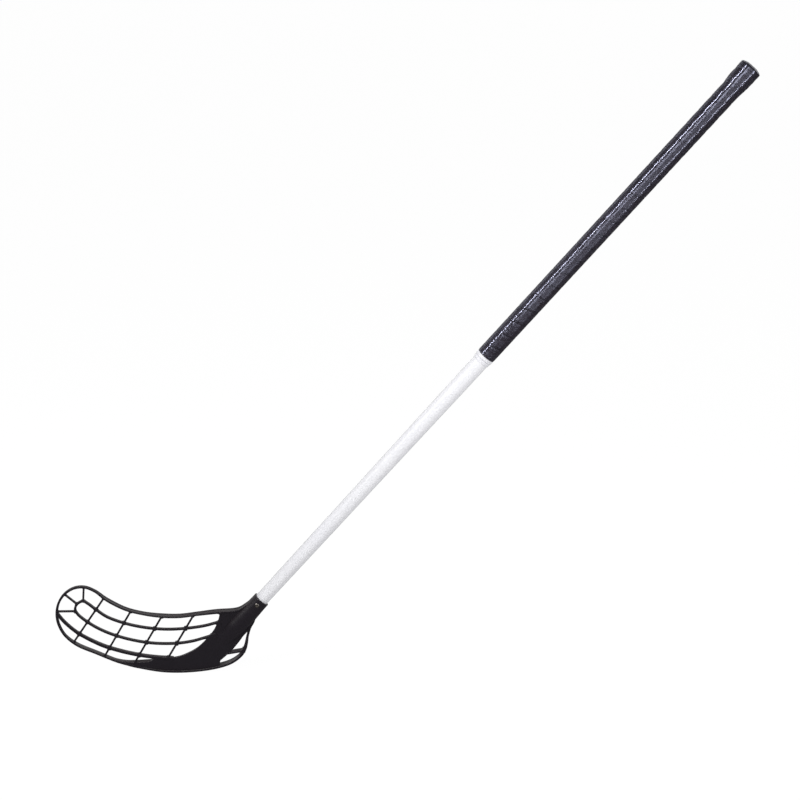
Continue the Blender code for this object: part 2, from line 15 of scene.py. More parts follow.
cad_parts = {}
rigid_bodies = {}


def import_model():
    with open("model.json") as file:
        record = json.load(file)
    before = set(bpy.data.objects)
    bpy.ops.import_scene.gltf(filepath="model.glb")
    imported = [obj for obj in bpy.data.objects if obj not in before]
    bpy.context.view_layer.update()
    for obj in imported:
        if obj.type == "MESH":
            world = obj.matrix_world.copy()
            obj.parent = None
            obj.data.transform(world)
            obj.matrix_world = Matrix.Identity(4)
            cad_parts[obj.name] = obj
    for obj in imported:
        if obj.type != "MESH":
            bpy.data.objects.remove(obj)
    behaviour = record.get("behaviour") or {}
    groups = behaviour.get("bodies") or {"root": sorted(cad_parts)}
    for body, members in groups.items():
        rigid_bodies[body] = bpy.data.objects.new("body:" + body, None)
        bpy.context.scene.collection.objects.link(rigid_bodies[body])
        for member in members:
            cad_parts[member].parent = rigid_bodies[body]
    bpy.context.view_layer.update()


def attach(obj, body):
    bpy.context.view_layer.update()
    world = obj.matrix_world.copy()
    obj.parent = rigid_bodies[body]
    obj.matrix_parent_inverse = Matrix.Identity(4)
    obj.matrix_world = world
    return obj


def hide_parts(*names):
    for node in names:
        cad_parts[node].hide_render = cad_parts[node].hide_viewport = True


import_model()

bl_info = {
    "name": "Floorball Stick",
    "version": (1, 0, 0),
    "blender": (4, 5, 0),
    "location": "View3D > Sidebar > Floorball Stick",
    "description": "Lattice blade, composite shaft and wound grip of an indoor hockey stick",
    "category": "Add Mesh",
}

MM = 0.001

# Sizes of the solids, as the part has them
CLEARANCE = 0.3 * MM
LIE_ANGLE = math.radians(49.9)
SHAFT_LOW = 94.3 * MM
SHAFT_HIGH = SHAFT_LOW + 960 * MM
SHAFT_DIAMETER = 21.1 * MM
SHAFT_TIP_DIAMETER = 18.0 * MM
SHAFT_TAPER_LENGTH = 470 * MM
SHAFT_WALL = 1.3 * MM
CAP_SEAT = SHAFT_HIGH + CLEARANCE
CAP_DIAMETER = 27.2 * MM
CAP_RIM = 3.9 * MM
CAP_CROWN = 3.3 * MM
CAP_FLAT_DIAMETER = 10 * MM
CAP_SKIRT_WALL = 1.05 * MM
CAP_SKIRT_EDGE = 0.4 * MM
CAP_SKIRT_LEAD = 3 * MM
CAP_PLUG_LENGTH = 30 * MM
CAP_PLUG_WALL = 1.5 * MM
SKIRT_LOW = CAP_SEAT - 8 * MM
STICK_END = CAP_SEAT + CAP_RIM + CAP_CROWN
GRIP_HIGH = SHAFT_HIGH
GRIP_LOW = GRIP_HIGH - 457 * MM
GRIP_PITCH = 20.9 * MM
GRIP_SEAM = 0.6 * MM
GRIP_BAND_THICKNESS = 1.15 * MM
GRIP_BAND_GAP = 0.35 * MM
GRIP_EDGE_THICKNESS = 0.75 * MM
GRIP_EDGE_ROLL = 2.2 * MM
GRIP_TIP_ROLL = 0.3
GRIP_TIP_WIDTH = 1.2 * MM
GRIP_CLIMB = 15 * MM
GRIP_CLIMB_LEAD = 7 * MM
BAND_WIDTH = GRIP_PITCH - GRIP_SEAM
BAND_FIRST = GRIP_LOW + GRIP_TIP_WIDTH - BAND_WIDTH
BAND_LAST = GRIP_HIGH - GRIP_TIP_WIDTH
TAPE_HIGH = GRIP_LOW - CLEARANCE
TAPE_STEP_LENGTH = 4.7 * MM
TAPE_THICKNESS = (1.0 * MM, 0.5 * MM)
SOCKET_FLOOR = SHAFT_LOW - CLEARANCE
HOSEL_RIM = SOCKET_FLOOR + 51 * MM
HOSEL_WALL = 1.85 * MM
HOSEL_FLARE = 1.7 * MM
HOSEL_SLANT = math.radians(11)
HOSEL_SLANT_TURN = math.radians(19)
HOSEL_SLANT_REACH = 15 * MM
NECK_LENGTH = 42 * MM
NECK_END_WIDTH = 16 * MM
NECK_END_COVER = 0.5 * MM
SCREW_HEIGHT = HOSEL_RIM - 6.4 * MM
SCREW_TURN = math.radians(10)
SCREW_HEAD_DIAMETER = 6.3 * MM
SCREW_HEAD_HEIGHT = 1.3 * MM
SCREW_HEAD_EDGE = 0.5 * MM
SCREW_CROWN_DIAMETER = 3.5 * MM
SCREW_SEAT_DEPTH = 1.1 * MM
SCREW_SHANK_DIAMETER = 2.9 * MM
SCREW_POINT_DIAMETER = 0.9 * MM
SCREW_LENGTH = 8 * MM
SCREW_KEY_ACROSS = 2.4 * MM
SCREW_KEY_DEPTH = 0.7 * MM

# Bars of the blade: thickness in the blade's plane and depth across it, the rim's in mm
TOP_RIM, WEB_RIM, FRONT_RIM, TOE_RIM = (2.5, 8.9), (3.2, 8.9), (2.5, 7.4), (3.1, 4.2)
BASE_RIM, LOW_RIM, SOLE_RIM = (2.5, 7.2), (2.9, 7.2), (3.2, 10.5)
HEEL_RIM, CORNER_RIM, BACK_RIM = (3.2, 10.0), (4.6, 9.0), (3.4, 9.0)
LONG_RIB = (3.3 * MM, 4.0 * MM)
LOWER_RIB = (4.4 * MM, 5.0 * MM)
CROSS_RIB = (2.7 * MM, 3.6 * MM)
SPOKE = (2.5 * MM, 3.4 * MM)
STRUT = (3.0 * MM, 7.8 * MM)
RIB_DRAFT = 0.88
WEB_THICKNESS = 3.4 * MM
WEB_TIP_THICKNESS = 6.6 * MM
WEB_TIP_START, WEB_TIP_END = -30 * MM, -70 * MM
WEB_BACK = 3.1 * MM
RIB_RECESS = 0.3 * MM
WEB_RECESS = 0.75 * MM
CROSS_RECESS = 0.5 * MM

# The blade's middle surface bends forward towards the toe, where its top rim thins
HOOK = 6 * MM
HOOK_START, HOOK_END = 20 * MM, -182 * MM
THIN_START, THIN_END = -60 * MM, -165 * MM

# Outer edge of the rim in the blade's plane, from inside the hosel over the top and round (mm)
RIM_OUTLINE = [
    (79.5, 109.9, TOP_RIM), (71, 103.1, TOP_RIM), (62.7, 97.6, TOP_RIM), (52.7, 95.2, TOP_RIM),
    (31, 93.6, WEB_RIM), (6.7, 90, TOP_RIM), (-17.3, 86.8, TOP_RIM), (-41.3, 87.4, TOP_RIM),
    (-65.3, 91.1, FRONT_RIM), (-88.6, 98.5, FRONT_RIM), (-111, 112.3, FRONT_RIM),
    (-125.5, 125.7, TOE_RIM), (-140, 132.8, TOE_RIM), (-154.6, 131.7, TOE_RIM),
    (-167.7, 123.4, TOE_RIM), (-177.2, 109.6, TOE_RIM), (-181.4, 92.7, TOE_RIM),
    (-180, 75, TOE_RIM), (-172.4, 57.3, TOE_RIM), (-156.4, 42.4, BASE_RIM),
    (-132.3, 29.6, BASE_RIM), (-108.3, 17.2, BASE_RIM), (-92.5, 11.2, LOW_RIM),
    (-76.8, 6.4, LOW_RIM), (-44.8, 0.9, SOLE_RIM), (-12.8, 0, SOLE_RIM), (20.4, 3.9, SOLE_RIM),
    (46.1, 11.5, HEEL_RIM), (62.3, 23.2, HEEL_RIM), (70.8, 36.5, CORNER_RIM),
    (73.9, 53.7, BACK_RIM), (77.7, 67.7, BACK_RIM), (82.7, 77.7, BACK_RIM),
    (85.2, 85.7, BACK_RIM),
]
LOOP_RIB_LINE = [
    (37, 78.2), (15, 71.5), (-11, 67.5), (-37, 66.5), (-63, 69.3), (-89, 75.6), (-112.5, 85.3),
    (-127.6, 97.2), (-137, 105.9), (-144, 110.2), (-151.3, 106.6), (-155.2, 98.9),
    (-152.5, 90.8), (-144, 81.5), (-129, 69.8), (-109, 59.2), (-83, 50.5), (-55, 45.2),
    (-27, 44.4), (-5, 47.2), (13, 52.5), (31, 58.9),
]
LOWER_RIB_LINE = [
    (-179.5, 92.8), (-171.4, 80), (-159.4, 66.4), (-147, 56.2), (-124, 42.3), (-100.3, 33.4),
    (-76, 27), (-52.5, 23.1), (-29, 21.2),
]
CROSS_RIB_ENDS = [
    ((-115.6, 115.2), (-161, 47.9)), ((-81.3, 95.2), (-121.5, 25.2)),
    ((-41.5, 85.2), (-83.5, 11.6)), ((0.8, 86.4), (-37.7, 19.2)),
]
SPOKE_ENDS = [
    ((-141.3, 131), (-143.7, 110)), ((-167.8, 121.9), (-151, 104.8)),
    ((-179.6, 95.7), (-155, 95.2)),
]
STRUT_ENDS = ((43, 28.5), (68, 33.3))

# Leaf-shaped web: x, height of its upper edge in front, height of its lower edge, and how much
# higher its upper edge is at the back (mm)
WEB_STATIONS = [
    (-115, 23, 21, 0), (-103, 18.6, 16, 0), (-91, 16.5, 11.8, 0), (-79, 16.2, 8.4, 0.3),
    (-67, 16.6, 6.2, 0.6), (-59.5, 17.8, 5, 0.4), (-55.5, 21.2, 4.2, 0), (-47, 22, 3.2, 0),
    (-37, 22, 2.2, 0), (-28.5, 22.8, 1.8, 0), (-20, 24.7, 1.6, 0), (-12, 28, 1.6, 0),
    (-3.7, 32.5, 2.2, 0), (4.9, 38.3, 3.3, 0), (14, 47.3, 4.7, 0), (22.6, 57.7, 6.3, 0),
    (28.8, 67, 8.2, 0), (32.6, 76, 9.8, 0), (34.4, 80.7, 17.4, 0), (37.8, 92, 21, 0),
    (44.8, 93.2, 27.8, 0), (53.5, 94, 37.3, 0), (60.5, 95.8, 46.6, 0), (66.6, 98, 55.6, 0),
    (69.7, 99.4, 59.4, 0), (73, 100.4, 64, 0), (76, 100.4, 76, 0),
]

AXIS = np.array([math.cos(LIE_ANGLE), 0, math.sin(LIE_ANGLE)])
ACROSS = np.array([math.sin(LIE_ANGLE), 0, -math.cos(LIE_ANGLE)])
DEPTH = np.array([0, 1, 0])
FOOT = -STICK_END * AXIS

# Details of the blade: the span of the web's upper edge that the bars meet, how its fillets and
# rounds compare with the sizes that a user sets, how far fillets go on inside what they meet, how
# far under its rim the hosel's rings start, and the groove's start, run-in, place and floor
WEB_EDGE_SPAN = (-10 * MM, 38 * MM)
FILLET_BELOW, FILLET_ABOVE = 0.7, 0.3
FILLET_CORE = 0.6
FILLET_INSIDE = 0.4 * MM
HOSEL_RIM_BAND = 2 * MM
RIM_ROUND, WEB_ROUND, HOSEL_ROUND = 1.4, 1.6, 1.3
GROOVE_START = np.array([-141, 132]) * MM
GROOVE_EASE = 8 * MM
GROOVE_BACK = 0.08
GROOVE_FLOOR = 0.6
GROOVE_ROUND = 0.15 * MM

# Details of the turned pieces
SHAFT_EDGE = 0.4 * MM
SHAFT_BEND = 20 * MM
CAP_EDGE = 0.3 * MM
TAPE_EDGE = 0.18 * MM

# The film: its gap to the band, how far from the seam it dips and lies smooth, where its crinkles
# start and how long they are, and its way over the cap's crown as (inwards, up)
FILM_LOW, FILM_HIGH = GRIP_LOW + 0.4 * MM, GRIP_HIGH + 0.2 * MM
FILM_GAP, FILM_CAP_GAP = 0.08 * MM, 0.1 * MM
FILM_DIP_REACH, FILM_SMOOTH_REACH = 1.7 * MM, 2.5 * MM
CRINKLE_START = GRIP_LOW + 200 * MM
CRINKLE_SHORT, CRINKLE_LONG = 2.3 * MM, 7.1 * MM
FILM_OVER_CROWN = np.array([(0, 0), (-0.3, 0.6), (-1.7, 1.5), (-3.5, 2.35)]) * MM

# How finely the surfaces are divided
LONG_STEP = 0.75 * MM
WEB_STEP = 1.2 * MM
FILLET_STEP, PLAIN_STEPS = 0.3 * MM, 16
FILM_STEP = 1.0 * MM
ROUND_SEGMENTS = 128
HOSEL_SEGMENTS = 96
SCREW_SEGMENTS = 64
GRIP_SEGMENTS = 72
ROLL_STEPS, FACE_STEPS = 5, 7
HOSEL_RIM_RINGS, HOSEL_RINGS, NECK_RINGS = 6, 30, 41
CROWN_STEPS, DOME_STEPS = 17, 10
CORNER_STEPS = 5
CORNER_REACH = 0.45
SHARP_ANGLE = math.radians(35)
MERGE_DISTANCE = 1e-7
CUT_PAST = 3 * MM


def linear_from_hex(text):
    """Linear colour from sRGB hex: c / 12.92 up to 0.04045, else ((c + 0.055) / 1.055) ** 2.4."""
    c = np.array([int(text[i:i + 2], 16) for i in (1, 3, 5)]) / 255
    return tuple(np.where(c <= 0.04045, c / 12.92, ((c + 0.055) / 1.055) ** 2.4).tolist())


def on_shaft(height, radius=0.0, turn=0.0):
    """FOOT + height * AXIS + radius * (cos turn * ACROSS + sin turn * DEPTH)."""
    height, radius, turn = np.broadcast_arrays(height, radius, turn)
    wide, deep = radius * np.cos(turn), radius * np.sin(turn)
    return FOOT + height[..., None] * AXIS + wide[..., None] * ACROSS + deep[..., None] * DEPTH


def in_blade(x, z, depth):
    """FOOT + (x, depth, z): a place in the blade's upright plane."""
    return FOOT + np.stack(np.broadcast_arrays(x, depth, z), axis=-1)


def shaft_radius(height):
    """Half of a diameter that grows evenly over the taper and then stays."""
    share = np.clip((height - SHAFT_LOW) / SHAFT_TAPER_LENGTH, 0, 1)
    return 0.5 * (SHAFT_TIP_DIAMETER + share * (SHAFT_DIAMETER - SHAFT_TIP_DIAMETER))


HOSEL_SURFACE = shaft_radius(HOSEL_RIM) + CLEARANCE + HOSEL_WALL
HOSEL_LIFT = HOSEL_SURFACE * math.tan(HOSEL_SLANT)
SCREW_SEAT = HOSEL_SURFACE - SCREW_SEAT_DEPTH


def smooth_step(value, start, end):
    """s * s * (3 - 2 s), where s is the share of the way from start to end, kept from 0 to 1."""
    share = np.clip((value - start) / (end - start), 0, 1)
    return share * share * (3 - 2 * share)


def hook(x):
    """-HOOK times the square of the share of the way from HOOK_START to HOOK_END."""
    share = np.maximum(0, (HOOK_START - x) / (HOOK_START - HOOK_END))
    return -HOOK * share * share


def lattice_front(x):
    """The hook less half of the top rim's depth, which eases down to the toe rim's."""
    thin = smooth_step(-x, -THIN_START, -THIN_END)
    return hook(x) - 0.5 * MM * (TOP_RIM[1] + thin * (TOE_RIM[1] - TOP_RIM[1]))


def spline(points, step, samples=12):
    """Points a step apart on the Catmull-Rom curve 0.5 * (2b + (c - a) t + (2a - 5b + 4c - d) t2
    + (3b - a - 3c + d) t3) through all columns, where a, b, c, d are four neighbours in turn."""
    points = np.asarray(points, float)
    ends = np.vstack([2 * points[0] - points[1], points, 2 * points[-1] - points[-2]])
    a, b, c, d = (ends[i:len(ends) - 3 + i, None, :] for i in range(4))
    t = np.linspace(0, 1, samples, endpoint=False)[None, :, None]
    fine = 2 * b + (c - a) * t + (2 * a - 5 * b + 4 * c - d) * t**2
    fine = 0.5 * (fine + (3 * b - a - 3 * c + d) * t**3)
    fine = np.vstack([fine.reshape(-1, points.shape[1]), points[-1]])
    run = np.concatenate([[0], np.cumsum(np.hypot(*np.diff(fine[:, :2], axis=0).T))])
    wanted = np.linspace(0, run[-1], max(2, round(run[-1] / step) + 1))
    return np.stack([np.interp(wanted, run, column) for column in fine.T], axis=1)


def side_of_path(path):
    """Unit normals on the left of the path: its direction (u, v) turned to (-v, u)."""
    along = np.gradient(path[:, :2], axis=0)
    along /= np.linalg.norm(along, axis=1)[:, None]
    return np.stack([-along[:, 1], along[:, 0]], axis=1)


def rounded_corners(corners, radius, steps=4):
    """Closed sections whose corners C become (1 - t)2 A + 2 t (1 - t) C + t2 B, where A and B lie
    a radius before and after C on the section's sides, but at most CORNER_REACH of a side."""
    corners = np.asarray(corners, float)
    before, after = np.roll(corners, 1, axis=-2) - corners, np.roll(corners, -1, axis=-2) - corners
    sides = [np.linalg.norm(side, axis=-1, keepdims=True) for side in (before, after)]
    reach = np.minimum(np.reshape(radius, (-1, 1)), CORNER_REACH * np.minimum(*sides))
    start, end = (corners + side / length * reach
                  for side, length in zip((before, after), sides))
    t = np.linspace(0, 1, steps)[:, None]
    curve = ((1 - t)**2 * start[..., None, :] + 2 * t * (1 - t) * corners[..., None, :]
             + t**2 * end[..., None, :])
    return curve.reshape(*corners.shape[:-2], -1, corners.shape[-1])


def distance_to_line(points, line):
    """Least |P - A - t (B - A)| over a broken line's parts AB, where t is (P - A).(B - A) /
    |B - A|2 kept from 0 to 1."""
    start, along = line[None, :-1], np.diff(line, axis=0)[None]
    away = points[:, None] - start
    t = np.clip((away * along).sum(-1) / (along**2).sum(-1), 0, 1)
    return np.linalg.norm(away - t[..., None] * along, axis=-1).min(axis=1)


def grid_faces(rows, columns, wrap_rows=False):
    """Quads between neighbouring rows of points, with the last column joined to the first."""
    row = np.arange(rows if wrap_rows else rows - 1)[:, None]
    column = np.arange(columns)
    here, above = row * columns, (row + 1) % rows * columns
    right = (column + 1) % columns
    quads = [here + column, here + right, above + right, above + column]
    return np.stack(quads, axis=-1).reshape(-1, 4)


def solid(name, rings, wrap=False, material=None):
    """Closed body over rings of equally many points. The last ring joins the first, or both end
    rings are capped. Where a sixth of the sum of a.(b x c) over its triangles, its volume, is
    negative, every face is turned round."""
    rows, columns = rings.shape[:2]
    points = rings.reshape(-1, 3)
    quads = grid_faces(rows, columns, wrap)
    caps = [] if wrap else [np.arange(columns)[::-1], np.arange(columns) + (rows - 1) * columns]
    fans = [np.stack(np.broadcast_arrays(cap[0], cap[1:-1], cap[2:]), axis=-1) for cap in caps]
    triangles = points[np.vstack([quads[:, [0, 1, 2]], quads[:, [0, 2, 3]], *fans])]
    turn = -1 if np.linalg.det(triangles - points.mean(axis=0)).sum() < 0 else 1
    mesh = bpy.data.meshes.new(name)
    faces = quads[:, ::turn].tolist() + [cap[::turn].tolist() for cap in caps]
    mesh.from_pydata(points.tolist(), [], faces)
    bm = bmesh.new()
    bm.from_mesh(mesh)
    bmesh.ops.remove_doubles(bm, verts=bm.verts, dist=MERGE_DISTANCE)
    bm.to_mesh(mesh)
    bm.free()
    mesh.shade_smooth()
    mesh.set_sharp_from_angle(angle=SHARP_ANGLE)
    obj = bpy.data.objects.new(name, mesh)
    bpy.context.scene.collection.objects.link(obj)
    if material:
        mesh.materials.append(material)
    return obj


def turned(name, profile, material=None, wrap=True):
    """Body of revolution: each (radius, height) of the profile carried once round the shaft."""
    radius, height = np.asarray(profile, float).T[..., None]
    turn = np.linspace(0, 2 * math.pi, ROUND_SEGMENTS, endpoint=False)
    return solid(name, on_shaft(height, radius, turn), wrap, material)


def cut_and_joined(obj, joined=(), cutters=()):
    """The object's mesh with the joined bodies added and the cutters taken away."""
    helpers = []
    for operation, bodies in (("UNION", joined), ("DIFFERENCE", cutters)):
        if bodies:
            group = bpy.data.collections.new(operation)
            bpy.context.scene.collection.children.link(group)
            for body in bodies:
                bpy.context.scene.collection.objects.unlink(body)
                group.objects.link(body)
            modifier = obj.modifiers.new(operation, "BOOLEAN")
            modifier.operation = operation
            modifier.solver = "MANIFOLD"
            modifier.operand_type = "COLLECTION"
            modifier.collection = group
            helpers.append(group)
    graph = bpy.context.evaluated_depsgraph_get()
    mesh = bpy.data.meshes.new_from_object(obj.evaluated_get(graph))
    obj.modifiers.clear()
    obj.data = mesh
    for group in helpers:
        for body in list(group.objects):
            bpy.data.objects.remove(body)
        bpy.data.collections.remove(group)
    mesh.shade_smooth()
    mesh.set_sharp_from_angle(angle=SHARP_ANGLE)
    if not mesh.polygons:
        raise RuntimeError(f"{obj.name}: the Boolean left nothing")
    return obj


def finished(obj, node=None):
    """The piece rides on the one body, and stands for its solid."""
    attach(obj, "root")
    if node:
        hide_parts(node)


# A and B of a Mix node of colours, and the values that nearly all of a noise lies between
FIRST_TONE, SECOND_TONE = 6, 7
NOISE_SPREAD = (0.3, 0.7)


def link(tree, node, links):
    """Links a node's inputs, each from an output or from the first output in use of a node."""
    for name, source in links.items():
        if isinstance(source, bpy.types.Node):
            source = next(output for output in source.outputs if output.enabled)
        tree.links.new(source, node.inputs[name])


def add_node(tree, kind, settings=None, links=None):
    """Adds a node: its settings by property or by input, its links by input."""
    node = tree.nodes.new(kind)
    for name, value in (settings or {}).items():
        if isinstance(name, str) and hasattr(node, name):
            setattr(node, name, value)
        else:
            node.inputs[name].default_value = value
    link(tree, node, links or {})
    return node


def from_to(*ends):
    """Map Range settings: from the first two values to the next two, or to 0 and 1."""
    return dict(zip(("From Min", "From Max", "To Min", "To Max"), ends))


def tones(first, second):
    """Mix settings for two colours, the first of them None where it is linked."""
    given = {} if first is None else {FIRST_TONE: (*first, 1)}
    return {"data_type": "RGBA", **given, SECOND_TONE: (*second, 1)}


def new_material(name, **constants):
    """Principled material with its constant sockets set; gives its tree and shader too."""
    material = bpy.data.materials.new(name)
    material.use_nodes = True
    tree = material.node_tree
    shader = tree.nodes["Principled BSDF"]
    for socket, value in constants.items():
        shader.inputs[socket.replace("_", " ")].default_value = value
    return material, tree, shader


def grained(tree, shader, tone, grain, gloss, relief, cloud=None):
    """Links a grained skin: its colour is the tone and its bump the grain, whose relief is given
    as strength and height (m). Its roughness goes from gloss's first value to its second by the
    cloud, or else by the grain."""
    rough = add_node(tree, "ShaderNodeMapRange", from_to(*NOISE_SPREAD, *gloss),
                     {"Value": grain if cloud is None else cloud})
    bump = add_node(tree, "ShaderNodeBump", {"Strength": relief[0], "Distance": relief[1]},
                    {"Height": grain})
    link(tree, shader, {"Base Color": tone, "Roughness": rough, "Normal": bump})


def in_millimetres(tree, turned_to_shaft=False):
    """Object coordinates in mm; turned so that X runs up the shaft where that is asked for."""
    place = add_node(tree, "ShaderNodeTexCoord").outputs["Object"]
    settings = {"Scale": (1 / MM, 1 / MM, 1 / MM)}
    if turned_to_shaft:
        settings["Rotation"] = (0, LIE_ANGLE, 0)
    return add_node(tree, "ShaderNodeMapping", settings, {"Vector": place})


def winding_phase(tree, place):
    """How far a place is up its own turn of the grip, from 0 at the seam below to 1 at the seam
    above: the fraction of (height - lowest seam) / pitch - turn / 2 pi, by the place in mm."""
    parts = add_node(tree, "ShaderNodeSeparateXYZ", links={"Vector": place})
    up = add_node(tree, "ShaderNodeMath", {"operation": "MULTIPLY", 1: -1.0},
                  {0: parts.outputs["Z"]})
    turn = add_node(tree, "ShaderNodeMath", {"operation": "ARCTAN2"},
                    {0: parts.outputs["Y"], 1: up})
    seam = (BAND_FIRST - 0.5 * GRIP_SEAM - STICK_END) / GRIP_PITCH
    climbed = add_node(tree, "ShaderNodeMath",
                       {"operation": "MULTIPLY_ADD", 1: MM / GRIP_PITCH, 2: -seam},
                       {0: parts.outputs["X"]})
    wound = add_node(tree, "ShaderNodeMath",
                     {"operation": "MULTIPLY_ADD", 1: -0.5 / math.pi}, {0: turn, 2: climbed})
    return add_node(tree, "ShaderNodeMath", {"operation": "FRACT"}, {0: wound})


def moulded_polypropylene(colours):
    """Black polypropylene, injection moulded in a spark-eroded mould: a satin skin of fine pits
    0.4 mm apart. Faces that look up get a lighter brown-grey tint, a painted highlight for the
    light they mirror."""
    material, tree, shader = new_material("moulded_black_polypropylene", IOR=1.42)
    place = in_millimetres(tree)
    grain = add_node(tree, "ShaderNodeTexNoise",
                     {"Scale": 2.6, "Detail": 3.0, "Roughness": 0.6}, {"Vector": place})
    cloud = add_node(tree, "ShaderNodeTexNoise", {"Scale": 0.11, "Detail": 2.0}, {"Vector": place})
    normal = add_node(tree, "ShaderNodeNewGeometry").outputs["Normal"]
    up = add_node(tree, "ShaderNodeSeparateXYZ", links={"Vector": normal}).outputs["Z"]
    # Painted highlight: faces that look up are tinted up to 8 % towards a lighter brown-grey, in
    # patches by the grain
    lying = add_node(tree, "ShaderNodeMapRange", from_to(0.35, 0.95, 0.0, 0.08), {"Value": up})
    patchy = add_node(tree, "ShaderNodeMapRange", from_to(0.35, 0.65, 0.65, 1.0),
                      {"Value": grain})
    painted_shading = add_node(tree, "ShaderNodeMath", {"operation": "MULTIPLY"}, {0: lying, 1: patchy})
    tone = add_node(tree, "ShaderNodeMix", tones(colours.blade, colours.painted_top_light),
                    {"Factor": painted_shading})
    grained(tree, shader, tone, grain, (0.34, 0.42), (0.35, 0.04 * MM), cloud)
    return material


def lacquered_composite(colours):
    """Glass fibre composite tube, sprayed white and clear coated: a glossy skin with a faint
    orange peel about 3 mm across, and a barely warmer or cooler tone along its length. Under the
    grip it is painted black, a painted shade that darkens the seams between the band's turns."""
    material, tree, shader = new_material("white_lacquered_composite", IOR=1.42, Coat_Weight=0.2,
                                          Coat_Roughness=0.2, Coat_IOR=1.45)
    place = in_millimetres(tree, turned_to_shaft=True)
    peel = add_node(tree, "ShaderNodeTexNoise", {"Scale": 0.33, "Detail": 1.0}, {"Vector": place})
    cloud = add_node(tree, "ShaderNodeTexNoise", {"Scale": 0.012, "Detail": 1.0},
                     {"Vector": place})
    white = add_node(tree, "ShaderNodeMix", tones(colours.shaft, colours.shaft_cool),
                     {"Factor": cloud})
    height = add_node(tree, "ShaderNodeSeparateXYZ", links={"Vector": place}).outputs["X"]
    # Painted shade: from the grip's low end up, the shaft is painted black so the grip's seams look
    # shaded
    grip_start = (GRIP_LOW - STICK_END) / MM
    seam_shade_mask = add_node(tree, "ShaderNodeMapRange", from_to(grip_start, grip_start + 0.3),
                     {"Value": height})
    tone = add_node(tree, "ShaderNodeMix", tones(None, colours.painted_seam_shade),
                    {"Factor": seam_shade_mask, FIRST_TONE: white})
    grained(tree, shader, tone, peel, (0.38, 0.44), (0.015, 0.03 * MM))
    return material


def embossed_polyurethane(colours):
    """Dark polyurethane grip band, embossed with fine ribs across the shaft 1.6 mm apart and
    blotched where the film touches it: a semi-gloss, faintly purple black. Its shine fades up
    each turn, from the edge that is pressed down to the one that stands off."""
    material, tree, shader = new_material("embossed_black_polyurethane", IOR=1.7,
                                          Specular_Tint=(*colours.grip_sheen, 1))
    place = in_millimetres(tree, turned_to_shaft=True)
    ribs = add_node(tree, "ShaderNodeTexWave",
                    {"wave_type": "BANDS", "bands_direction": "X", "Scale": 0.196,
                     "Distortion": 1.2, "Detail": 2.0, "Detail Scale": 1.5}, {"Vector": place})
    blotch = add_node(tree, "ShaderNodeTexNoise",
                      {"Scale": 0.22, "Detail": 3.0, "Roughness": 0.55}, {"Vector": place})
    patches = add_node(tree, "ShaderNodeMapRange", from_to(0.4, 0.62), {"Value": blotch})
    tone = add_node(tree, "ShaderNodeMix", tones(colours.grip, colours.grip_light),
                    {"Factor": patches})
    gloss = add_node(tree, "ShaderNodeMapRange", from_to(0.0, 1.0, 0.42, 0.3),
                     {"Value": patches})
    bump = add_node(tree, "ShaderNodeBump", {"Strength": 0.7, "Distance": 0.2 * MM},
                    {"Height": ribs})
    pressed = add_node(tree, "ShaderNodeMapRange", from_to(0.0, 0.9, 0.85, 0.35),
                       {"Value": winding_phase(tree, place)})
    sheen = add_node(tree, "ShaderNodeMath", {"operation": "MULTIPLY_ADD", 1: 0.3},
                     {0: patches, 2: pressed})
    link(tree, shader, {"Base Color": tone, "Roughness": gloss, "Normal": bump,
                        "Specular IOR Level": sheen})
    return material


def shrunk_film(colours):
    """Clear polyolefin film, shrunk tight over the new grip: nearly all that it shows is gloss.
    It shines most on the ridge above each seam. Towards the knob it gathers in folds 4 mm
    across, which break the highlight and look milky."""
    material, tree, shader = new_material(
        "clear_shrunk_film", IOR=2.0, Roughness=0.12, Base_Color=(*colours.film, 1),
        Specular_Tint=(*colours.grip_sheen, 1))
    place = in_millimetres(tree, turned_to_shaft=True)
    height = add_node(tree, "ShaderNodeSeparateXYZ", links={"Vector": place}).outputs["X"]
    near_knob = add_node(tree, "ShaderNodeMapRange", from_to(-240.0, -20.0, 0.03, 0.9),
                         {"Value": height})
    crinkle = add_node(tree, "ShaderNodeTexNoise",
                       {"Scale": 0.25, "Detail": 2.0, "Roughness": 0.5}, {"Vector": place})
    bump = add_node(tree, "ShaderNodeBump", {"Distance": 0.2 * MM},
                    {"Height": crinkle, "Strength": near_knob})
    folded = add_node(tree, "ShaderNodeMapRange", from_to(0.48, 0.62, 0.0, 0.8),
                      {"Value": crinkle})
    past_ridge = add_node(tree, "ShaderNodeMath", {"operation": "SUBTRACT", 1: 0.08},
                          {0: winding_phase(tree, place)})
    off_ridge = add_node(tree, "ShaderNodeMath", {"operation": "ABSOLUTE"}, {0: past_ridge})
    ridge = add_node(tree, "ShaderNodeMapRange", from_to(0.07, 0.02, 0.0, 0.35),
                     {"Value": off_ridge})
    gathered = add_node(tree, "ShaderNodeMath", {"operation": "ADD"}, {0: ridge, 1: near_knob})
    alpha = add_node(tree, "ShaderNodeMath", {"operation": "MULTIPLY_ADD", 2: 0.24},
                     {0: folded, 1: gathered})
    link(tree, shader, {"Alpha": alpha, "Normal": bump})
    return material


